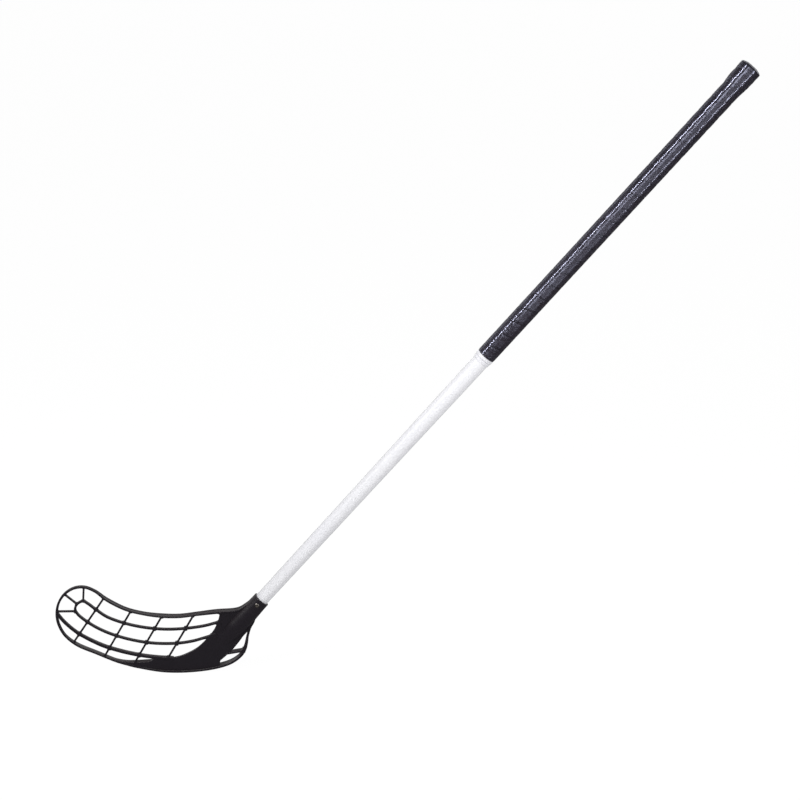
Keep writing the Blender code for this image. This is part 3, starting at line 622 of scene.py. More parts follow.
def vinyl_tape(colours):
    """White plasticised vinyl tape: a satin skin with a fine calendered grain 0.6 mm across.
    Within 0.6 mm of each wrap's edge it is painted grey, a painted shade at the steps."""
    material, tree, shader = new_material("white_vinyl_tape", IOR=1.45)
    place = in_millimetres(tree, turned_to_shaft=True)
    grain = add_node(tree, "ShaderNodeTexNoise", {"Scale": 1.7, "Detail": 2.0}, {"Vector": place})
    white = add_node(tree, "ShaderNodeMix", tones(colours.tape, colours.shaft_cool),
                     {"Factor": grain})
    height = add_node(tree, "ShaderNodeSeparateXYZ", links={"Vector": place}).outputs["X"]
    # Painted shade: the tape is mixed up to 60 % towards grey within 0.6 mm of each step edge
    wraps = add_node(tree, "ShaderNodeMath",
                     {"operation": "MULTIPLY_ADD", 1: MM / TAPE_STEP_LENGTH,
                      2: (STICK_END - TAPE_HIGH) / TAPE_STEP_LENGTH}, {0: height})
    off_edge = add_node(tree, "ShaderNodeMath", {"operation": "PINGPONG", 1: 0.5}, {0: wraps})
    painted_shading = add_node(tree, "ShaderNodeMapRange", from_to(0.13, 0.0, 0.0, 0.6),
                    {"Value": off_edge})
    tone = add_node(tree, "ShaderNodeMix", tones(None, colours.painted_edge_shade),
                    {"Factor": painted_shading, FIRST_TONE: white})
    grained(tree, shader, tone, grain, (0.35, 0.5), (0.2, 0.03 * MM))
    return material


def moulded_rubber(colours):
    """Black thermoplastic rubber, moulded: a dull skin with a soft grain 0.8 mm across."""
    material, tree, shader = new_material("moulded_black_rubber", IOR=1.7,
                                          Specular_Tint=(*colours.grip_sheen, 1))
    place = in_millimetres(tree)
    grain = add_node(tree, "ShaderNodeTexNoise", {"Scale": 1.3, "Detail": 3.0}, {"Vector": place})
    tone = add_node(tree, "ShaderNodeMix", tones(colours.cap, colours.grip), {"Factor": grain})
    grained(tree, shader, tone, grain, (0.32, 0.45), (0.3, 0.05 * MM))
    return material


def blackened_steel(colours):
    """Carbon steel, cold headed and chemically blackened: dark metal whose oxide is thinner and
    brighter in patches about 0.5 mm across."""
    material, tree, shader = new_material("blackened_steel", Metallic=1.0)
    oxide = add_node(tree, "ShaderNodeTexNoise", {"Scale": 2.0, "Detail": 3.0},
                     {"Vector": in_millimetres(tree)})
    tone = add_node(tree, "ShaderNodeMix", tones(colours.screw, colours.screw_bright),
                    {"Factor": oxide})
    gloss = add_node(tree, "ShaderNodeMapRange", from_to(*NOISE_SPREAD, 0.18, 0.3),
                     {"Value": oxide})
    link(tree, shader, {"Base Color": tone, "Roughness": gloss})
    return material


def studio_paper(colours):
    """White background paper, lit so brightly that it has almost no shadow: its white is its own
    glow."""
    return new_material("lit_white_paper", Roughness=0.9, IOR=1.05, Emission_Strength=0.97,
                        Base_Color=(*colours.floor, 1), Emission_Color=(1, 1, 1, 1))[0]


def length(name, text, default):
    """Length of up to 10 mm that a user may change, its default in mm."""
    return bpy.props.FloatProperty(name=name, description=text, default=default * MM, min=0,
                                   max=10 * MM, unit="LENGTH", precision=5)


def colour(name, text, default):
    """Colour that a user may change, its default in sRGB hex."""
    return bpy.props.FloatVectorProperty(name=name, description=text, size=3, min=0, max=1,
                                         default=linear_from_hex(default), subtype="COLOR")


class STICK_PG_sizes(bpy.types.PropertyGroup):
    """Sizes of the details that the solids leave out."""

    edge_round: length("Edge round", "Rounding of the blade's moulded edges", 0.45)
    rib_fillet: length("Rib fillet", "Radius where a cross rib meets what it crosses", 1.8)
    web_fillet: length("Web fillet", "Radius where the rim or a long rib meets the web", 4.0)
    groove_width: length("Groove width", "Width of the groove along the top rim", 1.4)
    groove_depth: length("Groove depth", "Depth of the groove along the top rim", 0.8)
    film_thickness: length("Film thickness", "Thickness of the shrunk film", 0.05)
    film_dip: length("Film dip", "How far the film sinks into the grip's seam", 0.12)
    film_crinkle: length("Film crinkle", "Height of the film's crinkles at the knob", 0.12)


class STICK_PG_colours(bpy.types.PropertyGroup):
    """Colours of the finishes."""

    blade: colour("Blade", "Black of the moulded blade", "#171319")
    # Painted highlight: the lighter brown-grey tint on faces that look up
    painted_top_light: colour("Blade dust", "Mould dust on faces that look up", "#7a6c68")
    shaft: colour("Shaft", "White of the lacquer", "#CECED0")
    shaft_cool: colour("Cool white", "Cooler tone in the white finishes", "#CACACF")
    # Painted shade: the black under the grip that darkens its seams
    painted_seam_shade: colour("Glue", "Black of the glue under the grip", "#120f12")
    grip: colour("Grip", "Dark of the grip band", "#2a2026")
    grip_light: colour("Grip patches", "Lighter patches of the grip band", "#37323c")
    grip_sheen: colour("Grip sheen", "Tint of the light that the grip band mirrors", "#dcdffa")
    film: colour("Film", "What little colour the film has", "#1c1a20")
    tape: colour("Tape", "White of the finishing tape", "#C2C2C6")
    # Painted shade: the grey at the tape's step edges
    painted_edge_shade: colour("Tape dust", "Grey of the dust on the tape's edges", "#77757d")
    cap: colour("Cap", "Black of the butt cap", "#17151a")
    screw: colour("Screw", "Dark of the steel", "#34302e")
    screw_bright: colour("Screw, worn", "Brighter patches of the steel", "#b8b0aa")
    floor: colour("Floor", "White of the paper, beside its own glow", "#404040")


def blade_bars(sizes):
    """Every bar of the lattice, as closed bodies that overlap where they meet."""
    rim = spline([(x * MM, z * MM, thickness * MM, depth * MM)
                  for x, z, (thickness, depth) in RIM_OUTLINE], LONG_STEP)
    loop = spline(np.array(LOOP_RIB_LINE) * MM, LONG_STEP)
    lower = spline(np.array(LOWER_RIB_LINE) * MM, LONG_STEP)
    web = spline(np.array(WEB_STATIONS) * MM, WEB_STEP)
    web_top = web[(web[:, 0] > WEB_EDGE_SPAN[0]) & (web[:, 0] < WEB_EDGE_SPAN[1])][:, :2]
    rim_middle = rim[:, :2] + 0.5 * rim[:, 2:3] * side_of_path(rim)
    carriers = [(rim_middle, 0.5 * TOP_RIM[0] * MM), (loop, 0.5 * LONG_RIB[0]),
                (lower, 0.5 * LOWER_RIB[0])]
    heel = [(rim_middle, 0.5 * HEEL_RIM[0] * MM)]
    bars = [rim_bar(rim, web_top, sizes), web_plate(web, sizes),
            long_rib("loop_rib", loop, LONG_RIB, web_top, sizes),
            long_rib("lower_rib", lower, LOWER_RIB, web_top, sizes),
            straight_rib("strut", STRUT_ENDS, STRUT, heel, sizes)]
    for i, ends in enumerate(CROSS_RIB_ENDS):
        bars.append(straight_rib(f"cross_rib_{i + 1}", ends, CROSS_RIB, carriers, sizes))
    for i, ends in enumerate(SPOKE_ENDS):
        bars.append(straight_rib(f"spoke_{i + 1}", ends, SPOKE, carriers[:2], sizes))
    return bars


def fillet(away, radius):
    """How far a bar's side moves out at a distance d from what it meets: r (1 - sqrt(1 -
    (1 - d / r)2)), a quarter circle of radius r."""
    share = 1 - np.clip(away / radius, 0, 1)
    return radius * (1 - np.sqrt(1 - share**2))


def rim_bar(path, web_edge, sizes):
    """Rim: a rounded rectangle, thickness by depth, carried along the outline with its outer side
    on it, and with a fillet inside where it meets the web. Along the top the outer side has a
    groove, a little behind the middle, whose depth eases in over GROOVE_EASE."""
    x, z, thickness, depth = path.T
    side = side_of_path(path)
    inner = path[:, :2] + thickness[:, None] * side
    thickness = thickness + fillet(distance_to_line(inner, web_edge), sizes.web_fillet)
    run = np.arange(len(path)) * LONG_STEP
    toe_end = run[np.argmin(np.hypot(x - GROOVE_START[0], z - GROOVE_START[1]))]
    sunk = sizes.groove_depth * smooth_step(run, toe_end, toe_end - GROOVE_EASE)
    half, zero = depth / 2, np.zeros(len(path))
    middle = GROOVE_BACK * depth
    wide = 0.5 * sizes.groove_width
    narrow = GROOVE_FLOOR * wide
    corners = np.stack([
        np.stack([zero, -half], -1), np.stack([thickness, -half], -1),
        np.stack([thickness, half], -1), np.stack([zero, half], -1),
        np.stack([zero, middle + wide], -1), np.stack([sunk, middle + narrow], -1),
        np.stack([sunk, middle - narrow], -1), np.stack([zero, middle - wide], -1),
    ], axis=1)
    section = rounded_corners(corners, [RIM_ROUND * sizes.edge_round] * 4 + [GROOVE_ROUND] * 4)
    inward, deep = section[..., 0], section[..., 1]
    return solid("rim", in_blade(
        x[:, None] + side[:, :1] * inward, z[:, None] + side[:, 1:] * inward,
        hook(x)[:, None] + deep))


def rib_section(size, sizes):
    """Six-sided section (aside, deep), widest at half its depth, with rounded corners."""
    width, depth = size
    aside = 0.5 * width * np.array([-RIB_DRAFT, RIB_DRAFT, 1, RIB_DRAFT, -RIB_DRAFT, -1])
    deep = depth * np.array([0, 0, 0.5, 1, 1, 0.5])
    return rounded_corners(np.stack([aside, deep], -1), sizes.edge_round)


def carried_rib(name, path, section, recess, extra):
    """Rib: its section carried along a path in the blade's plane, with its front a recess behind
    the top rim's. Its depth is at most twice the way from there to the blade's middle surface.
    Its sides, right and left, move out by extra where they have a fillet, and the section's
    middle less, by a share that grows to FILLET_CORE of its half width."""
    side = side_of_path(path)
    aside, deep = section.T
    half = np.abs(aside).max()
    extra = np.where(aside < 0, extra[:, :1], extra[:, -1:])
    spread = aside + extra * np.clip(aside / (FILLET_CORE * half), -1, 1)
    front = lattice_front(path[:, 0]) + recess
    thinned = np.minimum(1, 2 * (hook(path[:, 0]) - front) / deep.max())
    return solid(name, in_blade(
        path[:, :1] + side[:, :1] * spread, path[:, 1:2] + side[:, 1:] * spread,
        front[:, None] + thinned[:, None] * deep))


def long_rib(name, path, size, web_edge, sizes):
    """Rib of the loop or below it. Each side has a fillet where it meets the web, a share of the
    web's fillet: the larger one below, where it meets the web at a sharp angle."""
    aside = 0.5 * size[0] * side_of_path(path)
    extra = []
    for way in (-1, 1):
        edge = path + way * aside
        inside = edge[:, 0] > np.interp(edge[:, 1], web_edge[:, 1], web_edge[:, 0])
        away = np.where(inside, 0, distance_to_line(edge, web_edge))
        radius = np.where(way * aside[:, 1] < 0, FILLET_BELOW, FILLET_ABOVE) * sizes.web_fillet
        extra.append(fillet(away, radius))
    return carried_rib(name, path, rib_section(size, sizes), RIB_RECESS, np.stack(extra, -1))


def straight_rib(name, ends, size, carriers, sizes):
    """Straight rib with a fillet at each bar that it meets: in fine steps in its fillets, and at
    every PLAIN_STEPS of them elsewhere."""
    start, end = np.array(ends) * MM
    count = round(np.linalg.norm(end - start) / FILLET_STEP)
    path = start + np.linspace(0, 1, count + 1)[:, None] * (end - start)
    away = np.min([distance_to_line(path, line) - half for line, half in carriers], axis=0)
    extra = fillet(away, sizes.rib_fillet)
    outside = away > -FILLET_INSIDE
    kept = outside & (extra > 0) | (np.arange(count + 1) % PLAIN_STEPS == 0)
    kept[[0, -1]] = True
    section = rib_section(size, sizes)
    return carried_rib(name, path[kept], section, CROSS_RECESS, extra[kept, None])


def web_plate(path, sizes):
    """Web: at each x a rounded rectangle from its lower to its upper edge, a recess behind the
    top rim's front, carried through the stations on a spline. Its thickness eases from the web's
    to the tip's, and its back keeps within WEB_BACK of the blade's middle surface."""
    x, upper, lower, rise = path.T
    front = lattice_front(x) + WEB_RECESS
    tip = smooth_step(-x, -WEB_TIP_START, -WEB_TIP_END)
    thickness = WEB_THICKNESS + tip * (WEB_TIP_THICKNESS - WEB_THICKNESS)
    back = np.minimum(front + thickness, hook(x) + WEB_BACK)
    corners = np.stack([np.stack([lower, front], -1), np.stack([upper, front], -1),
                        np.stack([upper + rise, back], -1), np.stack([lower, back], -1)], axis=1)
    section = rounded_corners(corners, WEB_ROUND * sizes.edge_round, CORNER_STEPS)
    return solid("web", in_blade(x[:, None], section[..., 0], section[..., 1]))


def hosel_body(sizes):
    """Hosel: rings round the shaft's axis. Its rim is a quarter circle, and its width swells by
    the smooth step down to the socket's floor. Below, its width, front and back go by another
    smooth step to those of the neck's end, inside the web. Its rim is slanted: each ring is
    sheared up the shaft by its lift times the cosine of the turn from the highest point."""
    rim = HOSEL_SURFACE
    bend = np.linspace(0, math.pi / 2, HOSEL_RIM_RINGS)
    round_rim = HOSEL_ROUND * sizes.edge_round
    rim_height = HOSEL_RIM - round_rim * (1 - np.sin(math.pi / 2 - bend))
    rim_radius = rim - round_rim * (1 - np.sin(bend))
    height = np.concatenate([
        np.linspace(HOSEL_RIM - HOSEL_RIM_BAND, SOCKET_FLOOR, HOSEL_RINGS),
        np.linspace(SOCKET_FLOOR, SOCKET_FLOOR - NECK_LENGTH, NECK_RINGS)[1:]])
    wide = rim + HOSEL_FLARE * smooth_step(HOSEL_RIM - height, 0, HOSEL_RIM - SOCKET_FLOOR)
    sink = smooth_step(SOCKET_FLOOR - height, 0, NECK_LENGTH)
    wide = wide + sink * (0.5 * NECK_END_WIDTH - rim - HOSEL_FLARE)
    web_front = lattice_front(HOOK_START) + WEB_RECESS
    front = -rim + sink * (web_front + NECK_END_COVER + rim)
    back = rim + sink * (web_front + WEB_THICKNESS - NECK_END_COVER - rim)
    heights, wide = np.concatenate([rim_height, height]), np.concatenate([rim_radius, wide])
    front, back = np.concatenate([-rim_radius, front]), np.concatenate([rim_radius, back])
    turn = np.linspace(0, 2 * math.pi, HOSEL_SEGMENTS, endpoint=False)
    lift = HOSEL_LIFT * (1 - smooth_step(HOSEL_RIM - heights, 0, HOSEL_SLANT_REACH))
    deep = 0.5 * (front + back)[:, None] + 0.5 * (back - front)[:, None] * np.sin(turn)
    raised = heights[:, None] - lift[:, None] * np.sin(turn + HOSEL_SLANT_TURN)
    return solid("blade_moulding", on_shaft(raised) + deep[..., None] * DEPTH +
                 (wide[:, None] * np.cos(turn))[..., None] * ACROSS)


def round_on_screw(name, profile, segments=SCREW_SEGMENTS, material=None):
    """Body round the screw's axis, which crosses the shaft's at SCREW_HEIGHT, from (radius,
    distance out) of its profile."""
    turn = -math.pi / 2 - SCREW_TURN
    out = np.cos(turn) * ACROSS + np.sin(turn) * DEPTH
    side = np.cross(out, AXIS)
    radius, distance = np.asarray(profile, float).T[..., None]
    around = np.linspace(0, 2 * math.pi, segments, endpoint=False)
    return solid(name, on_shaft(SCREW_HEIGHT) + distance[..., None] * out +
                 (radius * np.cos(around))[..., None] * AXIS +
                 (radius * np.sin(around))[..., None] * side, material=material)


def band_base(height):
    """Radius of the band's inner face: the shaft's and a gap, and the cap's skirt near the end."""
    done = SKIRT_LOW - GRIP_CLIMB_LEAD
    climb = smooth_step(height, done - GRIP_CLIMB, done)
    return shaft_radius(height) + GRIP_BAND_GAP + climb * (CLEARANCE + CAP_SKIRT_WALL)


class STICK_OT_blade(bpy.types.Operator):
    """Make the blade: hosel, rim, lattice, web and strut as one moulding"""

    bl_idname = "stick.blade"
    bl_label = "Blade"

    def execute(self, context):
        sizes, colours = context.scene.stick_sizes, context.scene.stick_colours
        above = HOSEL_RIM + HOSEL_LIFT + CUT_PAST
        socket = turned("socket", [
            (0, SOCKET_FLOOR), (shaft_radius(SHAFT_LOW) + CLEARANCE, SOCKET_FLOOR),
            (shaft_radius(above) + CLEARANCE, above), (0, above)], wrap=False)
        hole = 0.5 * SCREW_SHANK_DIAMETER + CLEARANCE
        seat = 0.5 * SCREW_HEAD_DIAMETER + CLEARANCE
        screw_hole = round_on_screw("screw_hole", [
            (hole, shaft_radius(SCREW_HEIGHT) - SHAFT_WALL), (hole, SCREW_SEAT),
            (seat, SCREW_SEAT), (seat, HOSEL_SURFACE + CUT_PAST)])
        blade = cut_and_joined(hosel_body(sizes), blade_bars(sizes), [socket, screw_hole])
        blade.data.materials.clear()
        blade.data.materials.append(moulded_polypropylene(colours))
        finished(blade, "blade")
        return {"FINISHED"}


class STICK_OT_shaft(bpy.types.Operator):
    """Make the shaft: a tapered tube with the screw's hole in its wall"""

    bl_idname = "stick.shaft"
    bl_label = "Shaft"

    def execute(self, context):
        low, high = shaft_radius(SHAFT_LOW), shaft_radius(SHAFT_HIGH)
        straight = SHAFT_LOW + SHAFT_TAPER_LENGTH
        corners = [(low, SHAFT_LOW), (high, straight), (high, SHAFT_HIGH),
                   (high - SHAFT_WALL, SHAFT_HIGH), (high - SHAFT_WALL, straight),
                   (low - SHAFT_WALL, SHAFT_LOW)]
        rounds = [SHAFT_EDGE, SHAFT_BEND, SHAFT_EDGE] * 2
        profile = rounded_corners(corners, rounds, CORNER_STEPS)
        tube = turned("shaft_tube", profile, lacquered_composite(context.scene.stick_colours))
        outer = shaft_radius(SCREW_HEIGHT)
        radius = 0.5 * SCREW_SHANK_DIAMETER + CLEARANCE
        drill = round_on_screw("drill", [(radius, outer - SHAFT_WALL - CUT_PAST),
                                         (radius, outer + CUT_PAST)])
        finished(cut_and_joined(tube, cutters=[drill]), "shaft")
        return {"FINISHED"}


class STICK_OT_end_cap(bpy.types.Operator):
    """Make the butt cap: hollow plug, skirt and crowned end"""

    bl_idname = "stick.end_cap"
    bl_label = "Butt cap"

    def execute(self, context):
        tube = shaft_radius(SHAFT_HIGH)
        inner = tube + CLEARANCE
        outer = inner + CAP_SKIRT_WALL
        plug = tube - SHAFT_WALL - CLEARANCE
        plug_low = CAP_SEAT - CAP_PLUG_LENGTH
        bore = plug - CAP_PLUG_WALL
        rim, flat = 0.5 * CAP_DIAMETER, 0.5 * CAP_FLAT_DIAMETER
        width = rim - flat
        crown_radius = (width**2 + CAP_CROWN**2) / (2 * CAP_CROWN)
        angle = np.linspace(0, math.asin(width / crown_radius), CROWN_STEPS)
        crown = np.stack([flat + crown_radius * np.sin(angle),
                          STICK_END - crown_radius * (1 - np.cos(angle))], -1)
        edge = np.array([(rim, STICK_END - CAP_CROWN), (rim, CAP_SEAT)])
        profile = np.vstack([
            [(0, STICK_END)], crown[:-1],
            rounded_corners(np.vstack([crown[-2], edge]), CAP_EDGE, CORNER_STEPS)[
                CORNER_STEPS:2 * CORNER_STEPS],
            [(rim, CAP_SEAT), (outer, CAP_SEAT), (outer, SKIRT_LOW + CAP_SKIRT_LEAD),
             (inner + CAP_SKIRT_EDGE, SKIRT_LOW), (inner, SKIRT_LOW), (inner, CAP_SEAT),
             (plug, CAP_SEAT), (plug, plug_low), (bore, plug_low),
             (bore, CAP_SEAT - CAP_PLUG_WALL), (0, CAP_SEAT - CAP_PLUG_WALL)]])
        cap = turned("butt_cap", profile, moulded_rubber(context.scene.stick_colours), wrap=False)
        finished(cap, "end_cap")
        return {"FINISHED"}


class STICK_OT_grip(bpy.types.Operator):
    """Make the grip: one band wound right-handed up the shaft, with rolled edges"""

    bl_idname = "stick.grip"
    bl_label = "Grip band"

    def execute(self, context):
        """Section (height, out): the outer face rises from the edge's thickness over the roll
        by the quarter circle sqrt(1 - (1 - s)2). The band's low edge climbs one pitch a turn."""
        turns = (BAND_LAST - BAND_FIRST) / GRIP_PITCH
        turn = np.linspace(0, turns, math.ceil(turns * GRIP_SEGMENTS) + 1)[:, None]
        edge = BAND_FIRST + turn * GRIP_PITCH
        low, high = np.maximum(edge, GRIP_LOW), np.minimum(edge + BAND_WIDTH, GRIP_HIGH)
        roll = np.minimum(GRIP_EDGE_ROLL, GRIP_TIP_ROLL * (high - low))
        share = np.linspace(0, 1, ROLL_STEPS)
        rise = GRIP_EDGE_THICKNESS + (GRIP_BAND_THICKNESS - GRIP_EDGE_THICKNESS) * np.sqrt(
            1 - (1 - share)**2)
        across = np.arange(1, FACE_STEPS + 1) / (FACE_STEPS + 1)
        flat = low + roll + across * (high - low - 2 * roll)
        height = np.hstack([low, low + share * roll, flat, high - share[::-1] * roll, high])
        face = [GRIP_BAND_THICKNESS] * FACE_STEPS
        out = np.concatenate([[0], rise, face, rise[::-1], [0]])
        rings = on_shaft(height, band_base(height) + out, 2 * math.pi * turn)
        band = solid("wound_grip", rings,
                     material=embossed_polyurethane(context.scene.stick_colours))
        finished(band, "grip_band")
        return {"FINISHED"}


class STICK_OT_film(bpy.types.Operator):
    """Make the clear film that is shrunk over the new grip and the cap's rim"""

    bl_idname = "stick.film"
    bl_label = "Grip film"

    def execute(self, context):
        """Shell round the band: its radius is the band's and a gap, less the dip times exp(-(d /
        reach)2) at a distance d from the seam. Away from the seam it also moves out by the
        crinkle times 1 + fold, more and more towards the knob. At a height h and a turn t the
        fold is sin(h / short + 3 sin 2 t) sin(5 t + h / long)."""
        sizes = context.scene.stick_sizes
        height = np.arange(FILM_LOW, FILM_HIGH, FILM_STEP)[:, None]
        turn = np.linspace(0, 2 * math.pi, GRIP_SEGMENTS, endpoint=False)[None]
        phase = ((height - BAND_FIRST + 0.5 * GRIP_SEAM) / GRIP_PITCH - turn / (2 * math.pi)) % 1
        away = np.minimum(phase, 1 - phase) * GRIP_PITCH
        near_knob = smooth_step(height, CRINKLE_START, GRIP_HIGH)
        fold = (np.sin(height / CRINKLE_SHORT + 3 * np.sin(2 * turn)) *
                np.sin(5 * turn + height / CRINKLE_LONG))
        out = FILM_GAP - sizes.film_dip * np.exp(-(away / FILM_DIP_REACH)**2)
        out = out + sizes.film_crinkle * near_knob * (1 + fold) * (away > FILM_SMOOTH_REACH)
        radius = band_base(height) + GRIP_BAND_THICKNESS + out
        rim = 0.5 * CAP_DIAMETER + FILM_CAP_GAP
        over = np.vstack([[(rim, CAP_SEAT), (rim, CAP_SEAT + 0.5 * CAP_RIM)],
                          (rim, CAP_SEAT + CAP_RIM) + FILM_OVER_CROWN])
        heights, radii = (np.vstack([band, np.broadcast_to(cap[:, None], (len(over), len(turn.T)))])
                          for band, cap in ((np.broadcast_to(height, radius.shape), over[:, 1]),
                                            (radius, over[:, 0])))
        outer = on_shaft(heights, radii, turn)
        inner = on_shaft(heights, radii - sizes.film_thickness, turn)
        film = solid("grip_film", np.concatenate([outer, inner[::-1]]), wrap=True,
                     material=shrunk_film(context.scene.stick_colours))
        finished(film)
        return {"FINISHED"}


class STICK_OT_tape(bpy.types.Operator):
    """Make the finishing tape that closes the grip's lower end, in two steps"""

    bl_idname = "stick.tape"
    bl_label = "Finishing tape"

    def execute(self, context):
        inner = shaft_radius(TAPE_HIGH) + CLEARANCE
        step = TAPE_HIGH - TAPE_STEP_LENGTH
        low = step - TAPE_STEP_LENGTH
        thick, thin = TAPE_THICKNESS
        profile = rounded_corners([
            (inner, low), (inner + thin, low), (inner + thin, step), (inner + thick, step),
            (inner + thick, TAPE_HIGH), (inner, TAPE_HIGH)], TAPE_EDGE)
        tape = turned("finishing_tape_wrap", profile, vinyl_tape(context.scene.stick_colours))
        finished(tape, "finishing_tape")
        return {"FINISHED"}


class STICK_OT_screw(bpy.types.Operator):
    """Make the screw that holds the blade: domed head with a six-sided key recess"""

    bl_idname = "stick.screw"
    bl_label = "Blade screw"

    def execute(self, context):
        seat = SCREW_SEAT + CLEARANCE
        head, shank = 0.5 * SCREW_HEAD_DIAMETER, 0.5 * SCREW_SHANK_DIAMETER
        top, point = seat + SCREW_HEAD_HEIGHT, 0.5 * SCREW_POINT_DIAMETER
        crown = 0.5 * SCREW_CROWN_DIAMETER
        angle = np.linspace(0, math.pi / 2, DOME_STEPS)
        dome = np.stack([
            crown + (head - crown) * np.cos(angle),
            seat + SCREW_HEAD_EDGE + (SCREW_HEAD_HEIGHT - SCREW_HEAD_EDGE) * np.sin(angle)], -1)
        profile = np.vstack([[(point, top - SCREW_LENGTH),
                              (shank, top - SCREW_LENGTH + shank - point), (shank, seat),
                              (head, seat)], dome])
        body = round_on_screw("hosel_screw", profile,
                              material=blackened_steel(context.scene.stick_colours))
        key = round_on_screw("key", [(0.5 * SCREW_KEY_ACROSS, top - SCREW_KEY_DEPTH),
                                     (0.5 * SCREW_KEY_ACROSS, top + CUT_PAST)], segments=6)
        finished(cut_and_joined(body, cutters=[key]), "blade_screw")
        return {"FINISHED"}


# The camera, fitted to the photograph's frame of 800 x 800
CAMERA_TARGET = np.array([-0.4064, 0.0, -0.4152])
CAMERA_DISTANCE = 1.840
CAMERA_PITCH = math.radians(22)
CAMERA_LENS, CAMERA_SENSOR = 65.79, 36
CAMERA_REACH = 200
FLOOR_HALF = 40.0
FLOOR_GAP = 0.2 * MM

# Long lights beside the shaft, as the grip mirrors them: name, degrees round the shaft from the
# camera, way up the shaft from the grip's middle (m), size (m) and power (W)
SIDE_LIGHTS = [
    ("strip", -63, -0.2, (0.18, 1.6), 17),
    ("low strip", 42, 0.55, (0.15, 1.2), 4.2),
    ("window", -18, 0.12, (0.4, 1.1), 4.5),
    ("softbox", 14, 0.2, (2.2, 1.2), 7.4),
]
SIDE_LIGHT_AWAY = 1.2
# Large lights over the stick: name, way from what they look at (m), axis that their long side
# stands along, size (m) and power (W)
LARGE_LIGHTS = [
    ("key", (-0.2, -2.8, 1.5), (0, 0, 1.0), (2.0, 2.0), 3),
    ("top", (0.0, 1.2, 2.6), (0, 1.0, 0), (2.5, 1.5), 4),
]
LARGE_LIGHT_TARGET = 0.2

# The studio's back wall, as the blade's upper faces mirror it: its strength by how far the way it
# is seen in lies from DARK_X, times a share for each span of an axis; then gain and base
DARK_X = -0.35
WALL_STRENGTH = (0.0, 0.35, 0.15, 1.35)
WALL_SPANS = [("Y", 0.2, 0.7), ("Z", -0.08, 0.05), ("Z", 0.8, 0.45)]
WALL_GAIN, WALL_BASE = 0.9, 0.14


def area_light(name, place, target, upright, size, power):
    """Soft white rectangular light. Its -Z looks at the target, and its Y, along size's second
    side, is as near to upright as it can be: X is upright x Z and Y is Z x X."""
    light = bpy.data.lights.new(name, "AREA")
    light.shape = "RECTANGLE"
    light.size, light.size_y = size
    light.energy = power
    lamp = bpy.data.objects.new(name, light)
    bpy.context.scene.collection.objects.link(lamp)
    back = place - target
    back /= np.linalg.norm(back)
    right = np.cross(upright, back)
    right /= np.linalg.norm(right)
    placed = np.eye(4)
    placed[:3, :3] = np.stack([right, np.cross(back, right), back], axis=1)
    placed[:3, 3] = place
    lamp.matrix_world = Matrix(placed.tolist())


def studio_world():
    """Grey room whose back wall glows."""
    world = bpy.data.worlds.new("studio")
    world.use_nodes = True
    tree = world.node_tree
    place = add_node(tree, "ShaderNodeTexCoord").outputs["Generated"]
    way = add_node(tree, "ShaderNodeSeparateXYZ", links={"Vector": place})
    past_dark = add_node(tree, "ShaderNodeMath", {"operation": "ADD", 1: -DARK_X},
                         {0: way.outputs["X"]})
    off_dark = add_node(tree, "ShaderNodeMath", {"operation": "ABSOLUTE"}, {0: past_dark})
    wall = add_node(tree, "ShaderNodeMapRange", from_to(*WALL_STRENGTH), {"Value": off_dark})
    for axis, *span in WALL_SPANS:
        share = add_node(tree, "ShaderNodeMapRange", from_to(*span), {"Value": way.outputs[axis]})
        wall = add_node(tree, "ShaderNodeMath", {"operation": "MULTIPLY"}, {0: wall, 1: share})
    glow = add_node(tree, "ShaderNodeMath",
                    {"operation": "MULTIPLY_ADD", 1: WALL_GAIN, 2: WALL_BASE}, {0: wall})
    background = tree.nodes["Background"]
    background.inputs["Color"].default_value = (1, 1, 1, 1)
    link(tree, background, {"Strength": glow})
    return world


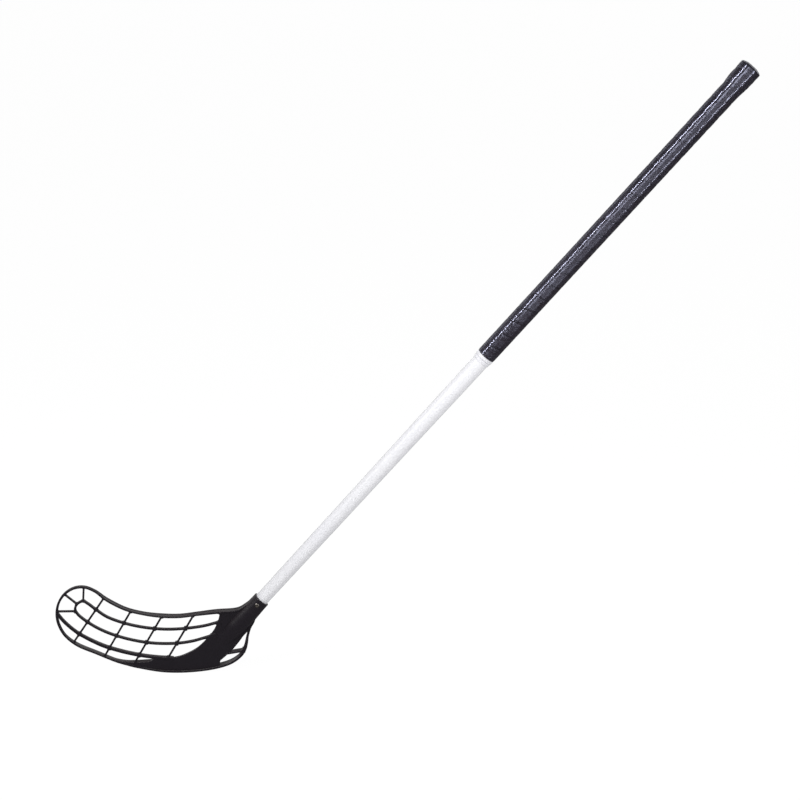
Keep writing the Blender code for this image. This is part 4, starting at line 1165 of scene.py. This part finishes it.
class STICK_OT_stage(bpy.types.Operator):
    """Make the floor, the lights and the camera"""

    bl_idname = "stick.stage"
    bl_label = "Stage"

    def execute(self, context):
        scene = context.scene
        half, level = FLOOR_HALF, float(FOOT[2]) - FLOOR_GAP
        mesh = bpy.data.meshes.new("floor")
        mesh.from_pydata([(-half, -half, level), (half, -half, level), (half, half, level),
                          (-half, half, level)], [], [(0, 1, 2, 3)])
        mesh.materials.append(studio_paper(scene.stick_colours))
        floor = bpy.data.objects.new("floor", mesh)
        scene.collection.objects.link(floor)
        floor.visible_glossy = False

        back = np.array([0, -math.cos(CAMERA_PITCH), math.sin(CAMERA_PITCH)])
        camera = bpy.data.objects.new("camera", bpy.data.cameras.new("camera"))
        camera.data.lens, camera.data.sensor_width = CAMERA_LENS, CAMERA_SENSOR
        camera.data.clip_end = CAMERA_REACH
        camera.location = (CAMERA_TARGET + CAMERA_DISTANCE * back).tolist()
        camera.rotation_euler = (math.pi / 2 - CAMERA_PITCH, 0, 0)
        scene.collection.objects.link(camera)
        scene.camera = camera

        grip = on_shaft(0.5 * (GRIP_LOW + GRIP_HIGH))
        view = back - back.dot(AXIS) * AXIS
        view /= np.linalg.norm(view)
        for name, swing, along, size, power in SIDE_LIGHTS:
            turn = math.radians(swing)
            way = math.cos(turn) * view + math.sin(turn) * ACROSS
            target = grip + along * AXIS
            area_light(name, target + SIDE_LIGHT_AWAY * way, target, AXIS, size, power)
        target = grip + LARGE_LIGHT_TARGET * AXIS
        for name, way, upright, size, power in LARGE_LIGHTS:
            area_light(name, target + np.array(way), target, upright, size, power)

        scene.world = studio_world()
        scene.view_settings.view_transform = "Standard"
        return {"FINISHED"}


class VIEW3D_PT_stick(bpy.types.Panel):
    """Lists the pieces, and the sizes and colours that they take"""

    bl_label = "Floorball Stick"
    bl_space_type = "VIEW_3D"
    bl_region_type = "UI"
    bl_category = "Floorball Stick"

    def draw(self, context):
        for operator in OPERATORS:
            self.layout.operator(operator.bl_idname)
        for group in (context.scene.stick_sizes, context.scene.stick_colours):
            for name in group.__annotations__:
                self.layout.prop(group, name)


OPERATORS = (STICK_OT_blade, STICK_OT_shaft, STICK_OT_end_cap, STICK_OT_grip, STICK_OT_film,
             STICK_OT_tape, STICK_OT_screw, STICK_OT_stage)
CLASSES = (STICK_PG_sizes, STICK_PG_colours, *OPERATORS, VIEW3D_PT_stick)


def register():
    for made in CLASSES:
        bpy.utils.register_class(made)
    bpy.types.Scene.stick_sizes = bpy.props.PointerProperty(type=STICK_PG_sizes)
    bpy.types.Scene.stick_colours = bpy.props.PointerProperty(type=STICK_PG_colours)


def unregister():
    del bpy.types.Scene.stick_colours
    del bpy.types.Scene.stick_sizes
    for made in reversed(CLASSES):
        bpy.utils.unregister_class(made)


def main():
    register()
    for operator in OPERATORS:
        group, name = operator.bl_idname.split(".")
        if getattr(getattr(bpy.ops, group), name)() != {"FINISHED"}:
            raise RuntimeError(f"{operator.bl_label} didn't finish")


if __name__ == "__main__":
    main()
